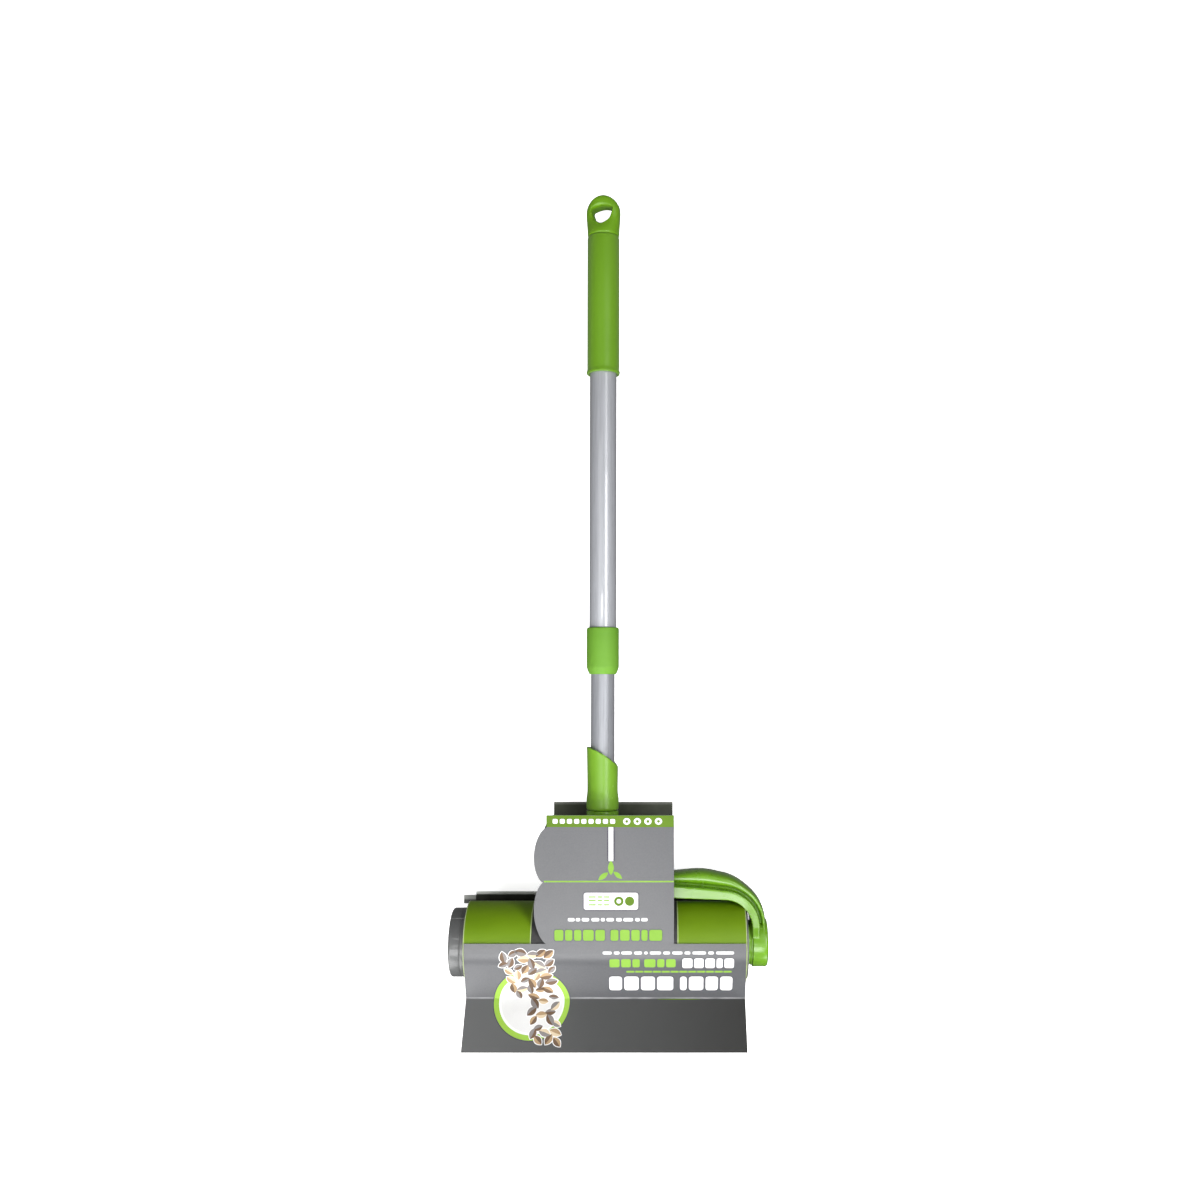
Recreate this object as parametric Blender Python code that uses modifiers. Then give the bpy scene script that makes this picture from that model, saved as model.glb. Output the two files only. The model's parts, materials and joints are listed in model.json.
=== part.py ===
"""A telescopic lint roller: one-sided arm, turning drum with a paper refill, twist-lock handle
and a folded display card round the head. It lies on a flat surface at z = 0.

The product's own frame has its origin in the middle of the roller axis, +X towards the hub
and +Y up the handle. Everything but the card hangs from an empty that holds that frame at the
roller's height and tips it until the top end of the grip touches the surface. All sizes are metres.
"""

import math

import bmesh
import bpy
from mathutils import Vector

# Fits and edges
CLEAR = 0.0003  # between pieces that are fixed together or pass each other
RUN = 0.0002  # radial play where one piece turns on another
EDGE = 0.0008  # how far moulded and turned edges are eased

# Refill: paper sheets wound on a cardboard core
ROLL_LENGTH = 0.254
CORE_WALL = 0.0016
SHEET_STACK = 0.0029
WRAP_WALL = 0.0004

# Drum that carries the refill
DRUM_R = 0.0306
DRUM_WALL = 0.0018
DRUM_END_WALL = 0.003
STOP_HEIGHT = 0.002
STOP_WIDTH = 0.0015
RIB_COUNT = 6
RIB_HEIGHT = 0.0006
RIB_WIDTH = 0.002
BOSS_WALL = 0.0027
BOSS_LENGTH = 0.012

# End cap, which plugs the free end of the drum
CAP_SHOWN = 0.0142
CAP_R = 0.031
CAP_WALL = 0.002
CAP_SPIGOT = 0.0123
CAP_EDGE = 0.0015
RECESS_R = 0.009
RECESS_DEPTH = 0.0085

# Axle, bushes and fasteners
AXLE_R = 0.004
AXLE_HEAD_R = 0.007
AXLE_HEAD = 0.0026
BUSH_WALL = 0.0028
BUSH_FLANGE_R = 0.0085
BUSH_FLANGE = 0.001
SCREW_R = 0.0019
SCREW_HEAD_R = 0.0045
SCREW_HEAD = 0.0024
SCREW_LENGTH = 0.011
WASHER_R = 0.007
WASHER_WALL = 0.001

# Head: hub, collar ring and arm
COLLAR_RING = 0.0042
COLLAR_RING_R = 0.0195
HUB_R = 0.020
HUB_LENGTH = 0.0128
HUB_EDGE = 0.0025
HUB_COVER_R = 0.015
HUB_COVER_RIM = 0.002
HUB_COVER_DOME = 0.0018
HUB_COVER_SHOULDER = (0.55, 0.8)  # where the dome turns down, as shares of its radius and height
HUB_COVER_ROUND = 0.02
ARM_BEND_R = 0.025
ARM_ROLL_GAP = 0.0053  # from the roll up to the arm's straight inner edge at the bend
ARM_SLOPE = 0.0375  # how far that edge climbs per metre towards the stem
RIM_STEP = 0.005
FLARE_REACH = 0.029

# Stem that carries the handle
HANDLE_X = -0.004
STEM_R = 0.015
STEM_FILLET_TOP = 0.097
STEM_FILLET_FOOT = 0.0635
STEM_FILLET_REACH = 0.0325
STEM_FLARE_TOP = 0.072
STEM_FLARE_REACH = 0.0115
STEM_ROOT = 0.0505
SPIGOT_R = 0.007
SPIGOT_LENGTH = 0.0305

# Socket with the scooped top
SOCKET_BASE = 0.1215
SOCKET_FLOOR = 0.0045
SOCKET_FOOT_R = 0.0149
SOCKET_FOOT = 0.0105
SOCKET_WAIST_R = 0.014
SOCKET_TOP_R = 0.01475
SOCKET_HIGH = 0.1798
SOCKET_LOW = 0.1607
SOCKET_BULGE = 0.0032
SOCKET_LIP_ROUND = 0.002
SOCKET_FOOT_ROUND = 0.004
SOCKET_WAIST_ROUND = 0.01
SCOOP_OVERRUN = 1.35  # how far the scoop's arc runs on past the socket's wall

# Telescopic tubes
LOWER_TUBE_R = 0.011
UPPER_TUBE_R = 0.0125
TUBE_WALL = 0.001
GUIDE_STOP_GAP = 0.002
PLUG_FLANGE = 0.0018
PLUG_LENGTH = 0.030
BUSH_GUIDE_SPIGOT = 0.015
BUSH_GUIDE_FLANGE = 0.006

# Twist lock
COLLAR_BASE = 0.2470
COLLAR_LENGTH = 0.0434
COLLAR_R = 0.015
COLLAR_FLOOR = 0.0035
COLLAR_LIP = 0.0018
COLLAR_CHAMFER = 0.004
COLLAR_CHAMFER_ROUND = 0.003
COLLAR_FOOT_ROUND = 0.0006
COLLET_WALL = 0.0011
COLLET_FINGER = 0.011
COLLET_TAPER = 0.0008
COLLET_SLOT = 0.0012
COLLET_SLOT_LENGTH = 0.018

# Grip and hanging cap
GRIP_BASE = 0.5283
GRIP_LENGTH = 0.1301
GRIP_R = 0.015
GRIP_LIP_R = 0.0155
GRIP_LIP = 0.003
GRIP_LIP_ROUND = 0.001
GRIP_NECK_ROUND = 0.002
HANG_HEIGHT = 0.0389
HANG_BASE_R = 0.0148
HANG_LOOP_R = 0.0161
HANG_THICKNESS = 0.017
HANG_PLUG = 0.024
HANG_TURN = math.radians(10)  # the upper half lies turned about the handle
HANG_HOLE_WIDTH = 0.0208
HANG_HOLE_HEIGHT = 0.0178
HANG_HOLE_DROP = 0.0034  # from the loop's centre down to the hole's
HANG_HOLE_CORNERS = (
    (-1.02, 0.72, 0.0024),
    (0, 1.06, 0.016),
    (1.02, 0.72, 0.0024),
    (0.70, -0.48, 0.008),
    (0, -1.18, 0.0045),
    (-0.70, -0.48, 0.008),
)  # shares of the half width and half height, then the rounding

# Display card
BOARD = 0.0006
CARD_END_GAP = 0.001  # from the card's sides out to the roll's ends
CARD_ROLL_GAP = 0.0004
TONGUE_LEFT = -0.052
TONGUE_RIGHT = 0.0615
TONGUE_NOTCH = -0.0548
TONGUE_LOBE = -0.0632
LOBE_FULLNESS = 0.65  # power of the lobes' curve: 0.5 is an ellipse, 1 a parabola
TONGUE_TOP = 0.1228
BAND_WIDTH = 0.011
TONGUE_CREASE = 0.0626
WINDOW_EDGE = 0.008
TONGUE_RISE = 0.0015
FOLD_Y = -0.0445
FOLD_HEIGHT = 0.062
HEADER_LENGTH = 0.048
HEADER_ANGLE = math.radians(35)
FLOOR_FOLD_Y = -0.0385
FLOOR_WING_Y = 0.0384
FLOOR_TONGUE_Y = 0.124
EAR_REACH = 0.012
EAR_Y = 0.035
EAR_WIDTH = 0.008

# Sizes that follow from those above
HALF_ROLL = ROLL_LENGTH / 2
CORE_BORE_R = DRUM_R + RIB_HEIGHT + CLEAR
CORE_R = CORE_BORE_R + CORE_WALL
SHEETS_BORE_R = CORE_R + CLEAR
SHEETS_R = SHEETS_BORE_R + SHEET_STACK
WRAP_BORE_R = SHEETS_R + CLEAR
ROLL_R = WRAP_BORE_R + WRAP_WALL
AXIS_HEIGHT = BOARD + CLEAR + ROLL_R
BUSH_BORE_R = AXLE_R + RUN
BUSH_R = BUSH_BORE_R + BUSH_WALL
BOSS_BORE_R = BUSH_R + CLEAR
BOSS_R = BOSS_BORE_R + BOSS_WALL
DRUM_END = HALF_ROLL + CLEAR + STOP_WIDTH
RING_FACE = DRUM_END + CLEAR
HUB_FACE = RING_FACE + COLLAR_RING + CLEAR
HUB_END = HUB_FACE + HUB_LENGTH
COVER_FLOOR = HUB_END - HUB_COVER_RIM - CLEAR
AXLE_SEAT = COVER_FLOOR - CLEAR - AXLE_HEAD
CAP_FACE = -HALF_ROLL - CLEAR
CAP_END = CAP_FACE - CAP_SHOWN
RECESS_FLOOR = CAP_END + RECESS_DEPTH
AXLE_END = RECESS_FLOOR - CLEAR - BUSH_FLANGE
STEM_TOP = SOCKET_BASE - CLEAR
LOWER_TUBE_BORE_R = LOWER_TUBE_R - TUBE_WALL
UPPER_TUBE_BORE_R = UPPER_TUBE_R - TUBE_WALL
PLUG_BASE = SOCKET_BASE + SOCKET_FLOOR + CLEAR
LOWER_TUBE_BASE = PLUG_BASE + PLUG_FLANGE + CLEAR
COLLAR_TOP = COLLAR_BASE + COLLAR_LENGTH
COLLET_BASE = COLLAR_BASE + COLLAR_FLOOR + CLEAR
COLLET_TOP = COLLAR_TOP - COLLAR_LIP - CLEAR
COLLET_R = UPPER_TUBE_R + CLEAR + COLLET_WALL
UPPER_TUBE_BASE = COLLET_BASE + COLLET_FINGER + CLEAR
GRIP_TOP = GRIP_BASE + GRIP_LENGTH
HANG_BASE = GRIP_TOP + CLEAR
HANG_PLUG_END = HANG_BASE - HANG_PLUG
LOWER_TUBE_TOP = HANG_PLUG_END - GUIDE_STOP_GAP - BUSH_GUIDE_FLANGE - CLEAR
TOP_BOARD_R = ROLL_R + CARD_ROLL_GAP + BOARD / 2
CARD_HALF_WIDTH = HALF_ROLL - CARD_END_GAP

# Facets round a full turn
ROLL_STEPS = 44
HANDLE_STEPS = 32
SMALL_STEPS = 24

EMPTY_SIZE = 0.03  # how large the empties are drawn

ON_ROLLER_AXIS = (0, math.radians(90), 0)
ON_HANDLE_AXIS = (math.radians(-90), 0, 0)


def clear_scene():
    for old in list(bpy.data.objects):
        bpy.data.objects.remove(old, do_unlink=True)


def new_collection(name):
    collection = bpy.data.collections.new(name)
    bpy.context.scene.collection.children.link(collection)
    return collection


def linear(level):
    """One 0 to 255 screen colour level as the linear value that a shader takes."""
    share = level / 255
    return share / 12.92 if share <= 0.04045 else ((share + 0.055) / 1.055) ** 2.4


def new_material(name, red, green, blue, roughness, metallic=0.0):
    material = bpy.data.materials.new(name)
    material.use_nodes = True
    shader = material.node_tree.nodes["Principled BSDF"]
    shader.inputs["Base Color"].default_value = (linear(red), linear(green), linear(blue), 1)
    shader.inputs["Roughness"].default_value = roughness
    shader.inputs["Metallic"].default_value = metallic
    material.diffuse_color = (linear(red), linear(green), linear(blue), 1)
    return material


def new_empty(name, collection, parent=None, location=(0, 0, 0), rotation=(0, 0, 0)):
    empty = bpy.data.objects.new(name, None)
    empty.location = location
    empty.rotation_euler = rotation
    empty.parent = parent
    empty.empty_display_size = EMPTY_SIZE
    collection.objects.link(empty)
    return empty


def add_object(name, mesh, place, material=None):
    """Links a mesh under its parent empty. A place is (collection, parent)."""
    collection, parent = place
    if material:
        mesh.materials.append(material)
    thing = bpy.data.objects.new(name, mesh)
    thing.parent = parent
    collection.objects.link(thing)
    return thing


def mark_cutter(thing):
    thing.hide_render = True
    thing.display_type = "WIRE"
    return thing


def round_corners(corners, closed=True, steps=3):
    """Points of an outline whose corners (x, y, radius) are rounded, with steps facets a right angle."""
    points = []
    for index, (x, y, radius) in enumerate(corners):
        here = Vector((x, y))
        loose_end = not closed and index in (0, len(corners) - 1)
        if radius == 0 or loose_end:
            points.append(here)
            continue
        back = (Vector(corners[index - 1][:2]) - here).normalized()
        ahead = (Vector(corners[(index + 1) % len(corners)][:2]) - here).normalized()
        half = back.angle(ahead) / 2
        centre = here + (back + ahead).normalized() * radius / math.sin(half)
        start = here + back * radius / math.tan(half) - centre
        sweep = math.pi - 2 * half
        if back.x * ahead.y - back.y * ahead.x > 0:
            sweep = -sweep
        count = max(1, round(steps * abs(sweep) / (math.pi / 2)))
        for step in range(count + 1):
            angle = sweep * step / count
            cosine, sine = math.cos(angle), math.sin(angle)
            turned_start = (start.x * cosine - start.y * sine, start.x * sine + start.y * cosine)
            points.append(centre + Vector(turned_start))
    return points


def turned(name, corners, place, material=None, closed=True, steps=HANDLE_STEPS):
    """A solid of revolution about local Z. Corners (radius, height, rounding) run down the outside."""
    points = round_corners(corners, closed)
    edges = [(i, i + 1) for i in range(len(points) - 1)]
    if closed:
        edges.append((len(points) - 1, 0))
    mesh = bpy.data.meshes.new(name)
    mesh.from_pydata([(p.x, 0, p.y) for p in points], edges, [])
    thing = add_object(name, mesh, place, material)
    screw = thing.modifiers.new("turn", "SCREW")
    screw.steps = screw.render_steps = steps
    screw.use_merge_vertices = True
    screw.merge_threshold = 0.00001
    return thing


def ring_profile(inner, outer, low, high, inner_edge=0, outer_edge=0):
    return [
        (outer, high, outer_edge),
        (outer, low, outer_edge),
        (inner, low, inner_edge),
        (inner, high, inner_edge),
    ]


def lofted(name, rings, place, material=None):
    """A closed solid through rings of points that have the same count, with flat ends."""
    count = len(rings[0])
    form = bmesh.new()
    loops = [[form.verts.new(point) for point in ring] for ring in rings]
    for near, far in zip(loops, loops[1:]):
        for i in range(count):
            j = (i + 1) % count
            form.faces.new((near[i], near[j], far[j], far[i]))
    form.faces.new(reversed(loops[0]))
    form.faces.new(loops[-1])
    bmesh.ops.recalc_face_normals(form, faces=form.faces)
    for face in form.faces:
        face.smooth = True
    mesh = bpy.data.meshes.new(name)
    form.to_mesh(mesh)
    form.free()
    mesh.set_sharp_from_angle(angle=math.radians(40))
    return add_object(name, mesh, place, material)


def box(name, size, centre, place, turn=0.0):
    """A block, turned about local Z where a pattern repeats round an axis."""
    mesh = bpy.data.meshes.new(name)
    form = bmesh.new()
    bmesh.ops.create_cube(form, size=1)
    bmesh.ops.scale(form, vec=size, verts=form.verts)
    form.to_mesh(mesh)
    form.free()
    thing = add_object(name, mesh, place)
    thing.rotation_euler = (0, 0, turn)
    centre = Vector(centre)
    centre.rotate(thing.rotation_euler)
    thing.location = centre
    return thing


def combine(target, other, operation):
    modifier = target.modifiers.new(other.name, "BOOLEAN")
    modifier.object = other
    modifier.operation = operation
    modifier.solver = "EXACT"
    mark_cutter(other)


def rest_tilt():
    """The angle at which the grip's top end touches the surface that the roll lies on."""
    reach = math.hypot(GRIP_TOP, GRIP_R)
    return math.asin(AXIS_HEIGHT / reach) - math.atan2(GRIP_R, GRIP_TOP)


def smooth_between(stations, position):
    """Values at a position, on smooth curves through stations of (position, value, value, ...)."""
    last = len(stations) - 2
    index = max(i for i in range(last + 1) if i == 0 or stations[i][0] <= position)
    low, high = stations[index], stations[index + 1]
    before, after = stations[max(index - 1, 0)], stations[min(index + 2, last + 1)]
    share = (position - low[0]) / (high[0] - low[0])
    span = high[0] - low[0]
    values = []
    for k in range(1, len(low)):
        leave = (high[k] - before[k]) / (high[0] - before[0]) * span
        arrive = (after[k] - low[k]) / (after[0] - low[0]) * span
        rise = high[k] - low[k]
        curve = 3 * rise - 2 * leave - arrive
        twist = leave + arrive - 2 * rise
        values.append(low[k] + share * (leave + share * (curve + share * twist)))
    return values


# The arm's section at places along it: 0 the flare's end, 1 the stem, 2 and 3 the bend's ends, 4 the hub.
# Each has the rim's width, the crest's height, the half width across and the hollow of the inner face.
ARM_STATIONS = (
    (0.0, 0.0040, 0.0055, 0.0120, 0.0),
    (0.5, 0.0075, 0.0120, 0.0160, 0.0),
    (1.0, 0.0097, 0.0180, 0.0175, 0.0),
    (1.4, 0.0097, 0.0185, 0.0180, 0.0),
    (1.8, 0.0090, 0.0240, 0.0180, 0.0015),
    (2.0, 0.0078, 0.0208, 0.0180, 0.0032),
    (2.3, 0.0076, 0.0162, 0.0180, 0.0036),
    (2.6, 0.0074, 0.0145, 0.0180, 0.0036),
    (3.0, 0.0066, 0.0124, 0.0180, 0.0034),
    (3.4, 0.0064, 0.0128, 0.0180, 0.0012),
    (4.0, 0.0062, 0.0120, 0.0178, 0.0),
)
ARM_ROWS = (5, 13, 11, 6)  # rows of points in each of its four stretches


def arm_path(position):
    """Point on the arm's inner edge and the outward direction there, in the product's X and Y."""
    corner = Vector((HUB_FACE, ROLL_R + ARM_ROLL_GAP))
    along = Vector((1, -ARM_SLOPE)).normalized()
    outward = Vector((ARM_SLOPE, 1)).normalized()
    swing = math.pi / 2 - math.atan(ARM_SLOPE)
    start = corner - along * ARM_BEND_R * math.tan(swing / 2)
    stem = corner - along * (corner.x - HANDLE_X) / along.x
    centre = start - outward * ARM_BEND_R
    if position <= 1:
        return stem - along * FLARE_REACH * (1 - position), outward
    if position <= 2:
        return stem.lerp(start, position - 1), outward
    turn = swing * min(position - 2, 1)
    facing = outward * math.cos(turn) + along * math.sin(turn)
    end = centre + facing * ARM_BEND_R
    if position <= 3:
        return end, facing
    return end.lerp(Vector((end.x, 0)), position - 3), facing


def arm_section(position):
    """One closed section: hollow inner face, a rim at each side and a round crest between them."""
    point, outward = arm_path(position)
    rim, crest, half, hollow = smooth_between(ARM_STATIONS, position)
    valley = half - RIM_STEP
    side = [
        (hollow * 0.75, (half - EDGE) / 2),
        (0, half - EDGE),
        (EDGE, half),
        (rim - EDGE, half),
        (rim, half - EDGE),
    ]
    for step in range(5):
        angle = math.radians(90 - 18 * step)
        side.append((rim + (crest - rim) * math.cos(angle), valley * math.sin(angle)))
    other_side = [(out, -across) for out, across in reversed(side)]
    outline = [(hollow, 0)] + side + [(crest, 0)] + other_side
    return [
        (point.x + outward.x * out, point.y + outward.y * out, across) for out, across in outline
    ]


def stem_rings():
    """Ellipses from inside the arm up to the round stem, then the spigot inside the socket."""
    rows = 9
    rings = []
    for row in range(rows + 1):
        height = STEM_ROOT + (STEM_FILLET_TOP - STEM_ROOT) * row / rows
        right = min(1, (STEM_FILLET_TOP - height) / (STEM_FILLET_TOP - STEM_FILLET_FOOT))
        left = max(0, (STEM_FLARE_TOP - height) / (STEM_FLARE_TOP - STEM_ROOT))
        reach_right = STEM_R + STEM_FILLET_REACH * right**1.8
        reach_left = STEM_R + STEM_FLARE_REACH * left**1.8
        rings.append((height, reach_left, reach_right, STEM_R))
    rings.append((STEM_TOP, STEM_R, STEM_R, STEM_R))
    rings.append((STEM_TOP, SPIGOT_R, SPIGOT_R, SPIGOT_R))
    rings.append((STEM_TOP + SPIGOT_LENGTH, SPIGOT_R, SPIGOT_R, SPIGOT_R))
    angles = [math.tau * i / HANDLE_STEPS for i in range(HANDLE_STEPS)]
    placed = []
    for height, reach_left, reach_right, thickness in rings:
        middle = HANDLE_X + (reach_right - reach_left) / 2
        width = (reach_left + reach_right) / 2
        placed.append(
            [(middle + width * math.cos(a), height, thickness * math.sin(a)) for a in angles]
        )
    return placed


def make_head_arm(parts, cutters, frame, roller, green):
    sections = []
    for stretch, rows in enumerate(ARM_ROWS):
        sections += [arm_section(stretch + row / rows) for row in range(rows)]
    sections.append(arm_section(len(ARM_ROWS)))
    arm = lofted("head_arm", sections, (parts, frame), green)
    stem = lofted("stem_form", stem_rings(), (cutters, frame))
    hub = turned(
        "hub_form",
        [
            (0, HUB_END, 0),
            (HUB_R, HUB_END, HUB_EDGE),
            (HUB_R, HUB_FACE, EDGE),
            (0, HUB_FACE, 0),
        ],
        (cutters, roller),
        closed=False,
    )
    bores = turned(
        "hub_bores",
        [
            (0, HUB_END + HUB_EDGE, 0),
            (HUB_COVER_R + CLEAR, HUB_END + HUB_EDGE, 0),
            (HUB_COVER_R + CLEAR, COVER_FLOOR, 0),
            (AXLE_HEAD_R + CLEAR, COVER_FLOOR, 0),
            (AXLE_HEAD_R + CLEAR, AXLE_SEAT - CLEAR, 0),
            (AXLE_R + RUN, AXLE_SEAT - CLEAR, 0),
            (AXLE_R + RUN, HUB_FACE - HUB_EDGE, 0),
            (0, HUB_FACE - HUB_EDGE, 0),
        ],
        (cutters, roller),
        closed=False,
        steps=SMALL_STEPS,
    )
    combine(arm, stem, "UNION")
    combine(arm, hub, "UNION")
    combine(arm, bores, "DIFFERENCE")


def make_hub_fittings(parts, roller, green, steel):
    out, up = HUB_COVER_SHOULDER
    turned(
        "hub_cover",
        [
            (0, HUB_END + HUB_COVER_DOME, 0),
            (HUB_COVER_R * out, HUB_END + HUB_COVER_DOME * up, HUB_COVER_ROUND),
            (HUB_COVER_R, HUB_END, 0),
            (HUB_COVER_R, HUB_END - HUB_COVER_RIM, 0),
            (0, HUB_END - HUB_COVER_RIM, 0),
        ],
        (parts, roller),
        green,
        closed=False,
    )
    turned(
        "hub_ring",
        [
            (COLLAR_RING_R, RING_FACE + COLLAR_RING, EDGE),
            (COLLAR_RING_R, RING_FACE, EDGE),
            (BUSH_FLANGE_R + CLEAR, RING_FACE, 0),
            (BUSH_FLANGE_R + CLEAR, RING_FACE + BUSH_FLANGE + CLEAR, 0),
            (BUSH_BORE_R, RING_FACE + BUSH_FLANGE + CLEAR, 0),
            (BUSH_BORE_R, RING_FACE + COLLAR_RING, 0),
        ],
        (parts, roller),
        green,
    )
    turned(
        "roller_axle",
        [
            (0, AXLE_SEAT + AXLE_HEAD, 0),
            (AXLE_HEAD_R, AXLE_SEAT + AXLE_HEAD, EDGE),
            (AXLE_HEAD_R, AXLE_SEAT, 0),
            (AXLE_R, AXLE_SEAT, 0),
            (AXLE_R, AXLE_END, 0),
            (SCREW_R + CLEAR, AXLE_END, 0),
            (SCREW_R + CLEAR, AXLE_END + SCREW_LENGTH, 0),
            (0, AXLE_END + SCREW_LENGTH, 0),
        ],
        (parts, roller),
        steel,
        closed=False,
        steps=SMALL_STEPS,
    )


def make_axle_fasteners(parts, roller, steel):
    washer_top = AXLE_END - CLEAR
    washer_bottom = washer_top - WASHER_WALL
    turned(
        "axle_washer",
        ring_profile(SCREW_R + CLEAR, WASHER_R, washer_bottom, washer_top),
        (parts, roller),
        steel,
        steps=SMALL_STEPS,
    )
    head_top = washer_bottom - CLEAR
    turned(
        "axle_screw",
        [
            (0, AXLE_END + SCREW_LENGTH - SCREW_R, 0),
            (SCREW_R, AXLE_END + SCREW_LENGTH - SCREW_R, 0),
            (SCREW_R, head_top, 0),
            (SCREW_HEAD_R, head_top, 0),
            (SCREW_HEAD_R, head_top - SCREW_HEAD, SCREW_HEAD / 2),
            (0, head_top - SCREW_HEAD, 0),
        ],
        (parts, roller),
        steel,
        closed=False,
        steps=SMALL_STEPS,
    )


def make_bushes(parts, roller, nylon):
    """One flanged bush in each end of the drum, turning on the axle."""
    hub_side = [
        (BUSH_FLANGE_R, RING_FACE + BUSH_FLANGE, 0),
        (BUSH_FLANGE_R, RING_FACE, 0),
        (BUSH_R, RING_FACE, 0),
        (BUSH_R, DRUM_END - DRUM_END_WALL - BOSS_LENGTH, 0),
        (BUSH_BORE_R, DRUM_END - DRUM_END_WALL - BOSS_LENGTH, 0),
        (BUSH_BORE_R, RING_FACE + BUSH_FLANGE, 0),
    ]
    cap_side = [
        (BUSH_R, RECESS_FLOOR + BOSS_LENGTH, 0),
        (BUSH_R, RECESS_FLOOR - CLEAR, 0),
        (BUSH_FLANGE_R, RECESS_FLOOR - CLEAR, 0),
        (BUSH_FLANGE_R, RECESS_FLOOR - CLEAR - BUSH_FLANGE, 0),
        (BUSH_BORE_R, RECESS_FLOOR - CLEAR - BUSH_FLANGE, 0),
        (BUSH_BORE_R, RECESS_FLOOR + BOSS_LENGTH, 0),
    ]
    for name, profile in (("hub_bush", hub_side), ("end_bush", cap_side)):
        turned(name, profile, (parts, roller), nylon, steps=SMALL_STEPS)


def make_drum(parts, cutters, roller, grey):
    bore_r = DRUM_R - DRUM_WALL
    boss_end = DRUM_END - DRUM_END_WALL - BOSS_LENGTH
    drum = turned(
        "drum",
        [
            (DRUM_R + STOP_HEIGHT, DRUM_END, 0),
            (DRUM_R + STOP_HEIGHT, DRUM_END - STOP_WIDTH, 0),
            (DRUM_R, DRUM_END - STOP_WIDTH, 0),
            (DRUM_R, -HALF_ROLL, 0),
            (bore_r, -HALF_ROLL, 0),
            (bore_r, DRUM_END - DRUM_END_WALL, 0),
            (BOSS_R, DRUM_END - DRUM_END_WALL, 0),
            (BOSS_R, boss_end, 0),
            (BOSS_BORE_R, boss_end, 0),
            (BOSS_BORE_R, DRUM_END, 0),
        ],
        (parts, roller),
        grey,
        steps=ROLL_STEPS,
    )
    sunk = DRUM_WALL / 2
    rib_length = ROLL_LENGTH - 4 * RIB_WIDTH
    for index in range(RIB_COUNT):
        rib = box(
            f"drum_rib_{index + 1}",
            (RIB_HEIGHT + sunk, RIB_WIDTH, rib_length),
            (DRUM_R + (RIB_HEIGHT - sunk) / 2, 0, 0),
            (cutters, roller),
            turn=math.tau * (index + 0.5) / RIB_COUNT,
        )
        combine(drum, rib, "UNION")


def make_end_cap(parts, roller, grey):
    spigot_r = DRUM_R - DRUM_WALL - CLEAR
    spigot_bore_r = spigot_r - CAP_WALL
    spigot_end = CAP_FACE + CAP_SPIGOT
    end_wall = CAP_END + CAP_WALL
    boss_end = RECESS_FLOOR + BOSS_LENGTH
    turned(
        "end_cap",
        [
            (CAP_R, CAP_FACE, 0),
            (CAP_R, CAP_END, CAP_EDGE),
            (RECESS_R, CAP_END, 0),
            (RECESS_R, RECESS_FLOOR, 0),
            (BOSS_BORE_R, RECESS_FLOOR, 0),
            (BOSS_BORE_R, boss_end, 0),
            (RECESS_R + BOSS_WALL, boss_end, 0),
            (RECESS_R + BOSS_WALL, end_wall, 0),
            (spigot_bore_r, end_wall, 0),
            (spigot_bore_r, spigot_end, 0),
            (spigot_r, spigot_end, 0),
            (spigot_r, CAP_FACE, 0),
        ],
        (parts, roller),
        grey,
        steps=ROLL_STEPS,
    )


def make_refill(parts, roller, kraft, paper, wrap):
    layers = (
        ("refill_core", CORE_BORE_R, CORE_R, kraft),
        ("adhesive_sheets", SHEETS_BORE_R, SHEETS_R, paper),
        ("outer_wrap", WRAP_BORE_R, ROLL_R, wrap),
    )
    for name, inner, outer, material in layers:
        profile = ring_profile(inner, outer, -HALF_ROLL, HALF_ROLL)
        turned(name, profile, (parts, roller), material, steps=ROLL_STEPS)


def scoop_outline():
    """Outline of the block that cuts the socket's top: its lower edge is an arc, high to low."""
    left = Vector((-SOCKET_TOP_R, SOCKET_HIGH))
    right = Vector((SOCKET_TOP_R, SOCKET_LOW))
    middle = (left + right) / 2
    chord = right - left
    across = Vector((-chord.y, chord.x)).normalized()
    radius = (chord.length**2 / 4 + SOCKET_BULGE**2) / (2 * SOCKET_BULGE)
    centre = middle + across * (SOCKET_BULGE - radius)
    reach = math.asin(chord.length / 2 / radius) * SCOOP_OVERRUN
    arc = []
    steps = 10
    for step in range(steps + 1):
        angle = reach * (2 * step / steps - 1)
        direction = across * math.cos(angle) + chord.normalized() * math.sin(angle)
        arc.append(centre + direction * radius)
    far = SOCKET_HIGH + SOCKET_TOP_R
    return arc + [Vector((arc[-1].x, far)), Vector((arc[0].x, far))]


def make_socket(parts, cutters, handle, green):
    foot_top = SOCKET_BASE + SOCKET_FOOT
    socket = turned(
        "tube_socket",
        [
            (SOCKET_TOP_R, SOCKET_HIGH + EDGE, 0),
            (SOCKET_WAIST_R, foot_top + SOCKET_FLOOR, SOCKET_WAIST_ROUND),
            (SOCKET_FOOT_R, foot_top, SOCKET_FOOT_ROUND),
            (SOCKET_FOOT_R, SOCKET_BASE, SOCKET_LIP_ROUND),
            (SPIGOT_R + CLEAR, SOCKET_BASE, 0),
            (SPIGOT_R + CLEAR, SOCKET_BASE + SOCKET_FLOOR, 0),
            (LOWER_TUBE_R + CLEAR, SOCKET_BASE + SOCKET_FLOOR, 0),
            (LOWER_TUBE_R + CLEAR, SOCKET_HIGH + EDGE, 0),
        ],
        (parts, handle),
        green,
    )
    outline = scoop_outline()
    depth = SOCKET_TOP_R * SCOOP_OVERRUN
    rings = [[(p.x, side * depth, p.y) for p in outline] for side in (-1, 1)]
    combine(socket, lofted("socket_scoop", rings, (cutters, handle)), "DIFFERENCE")


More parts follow.
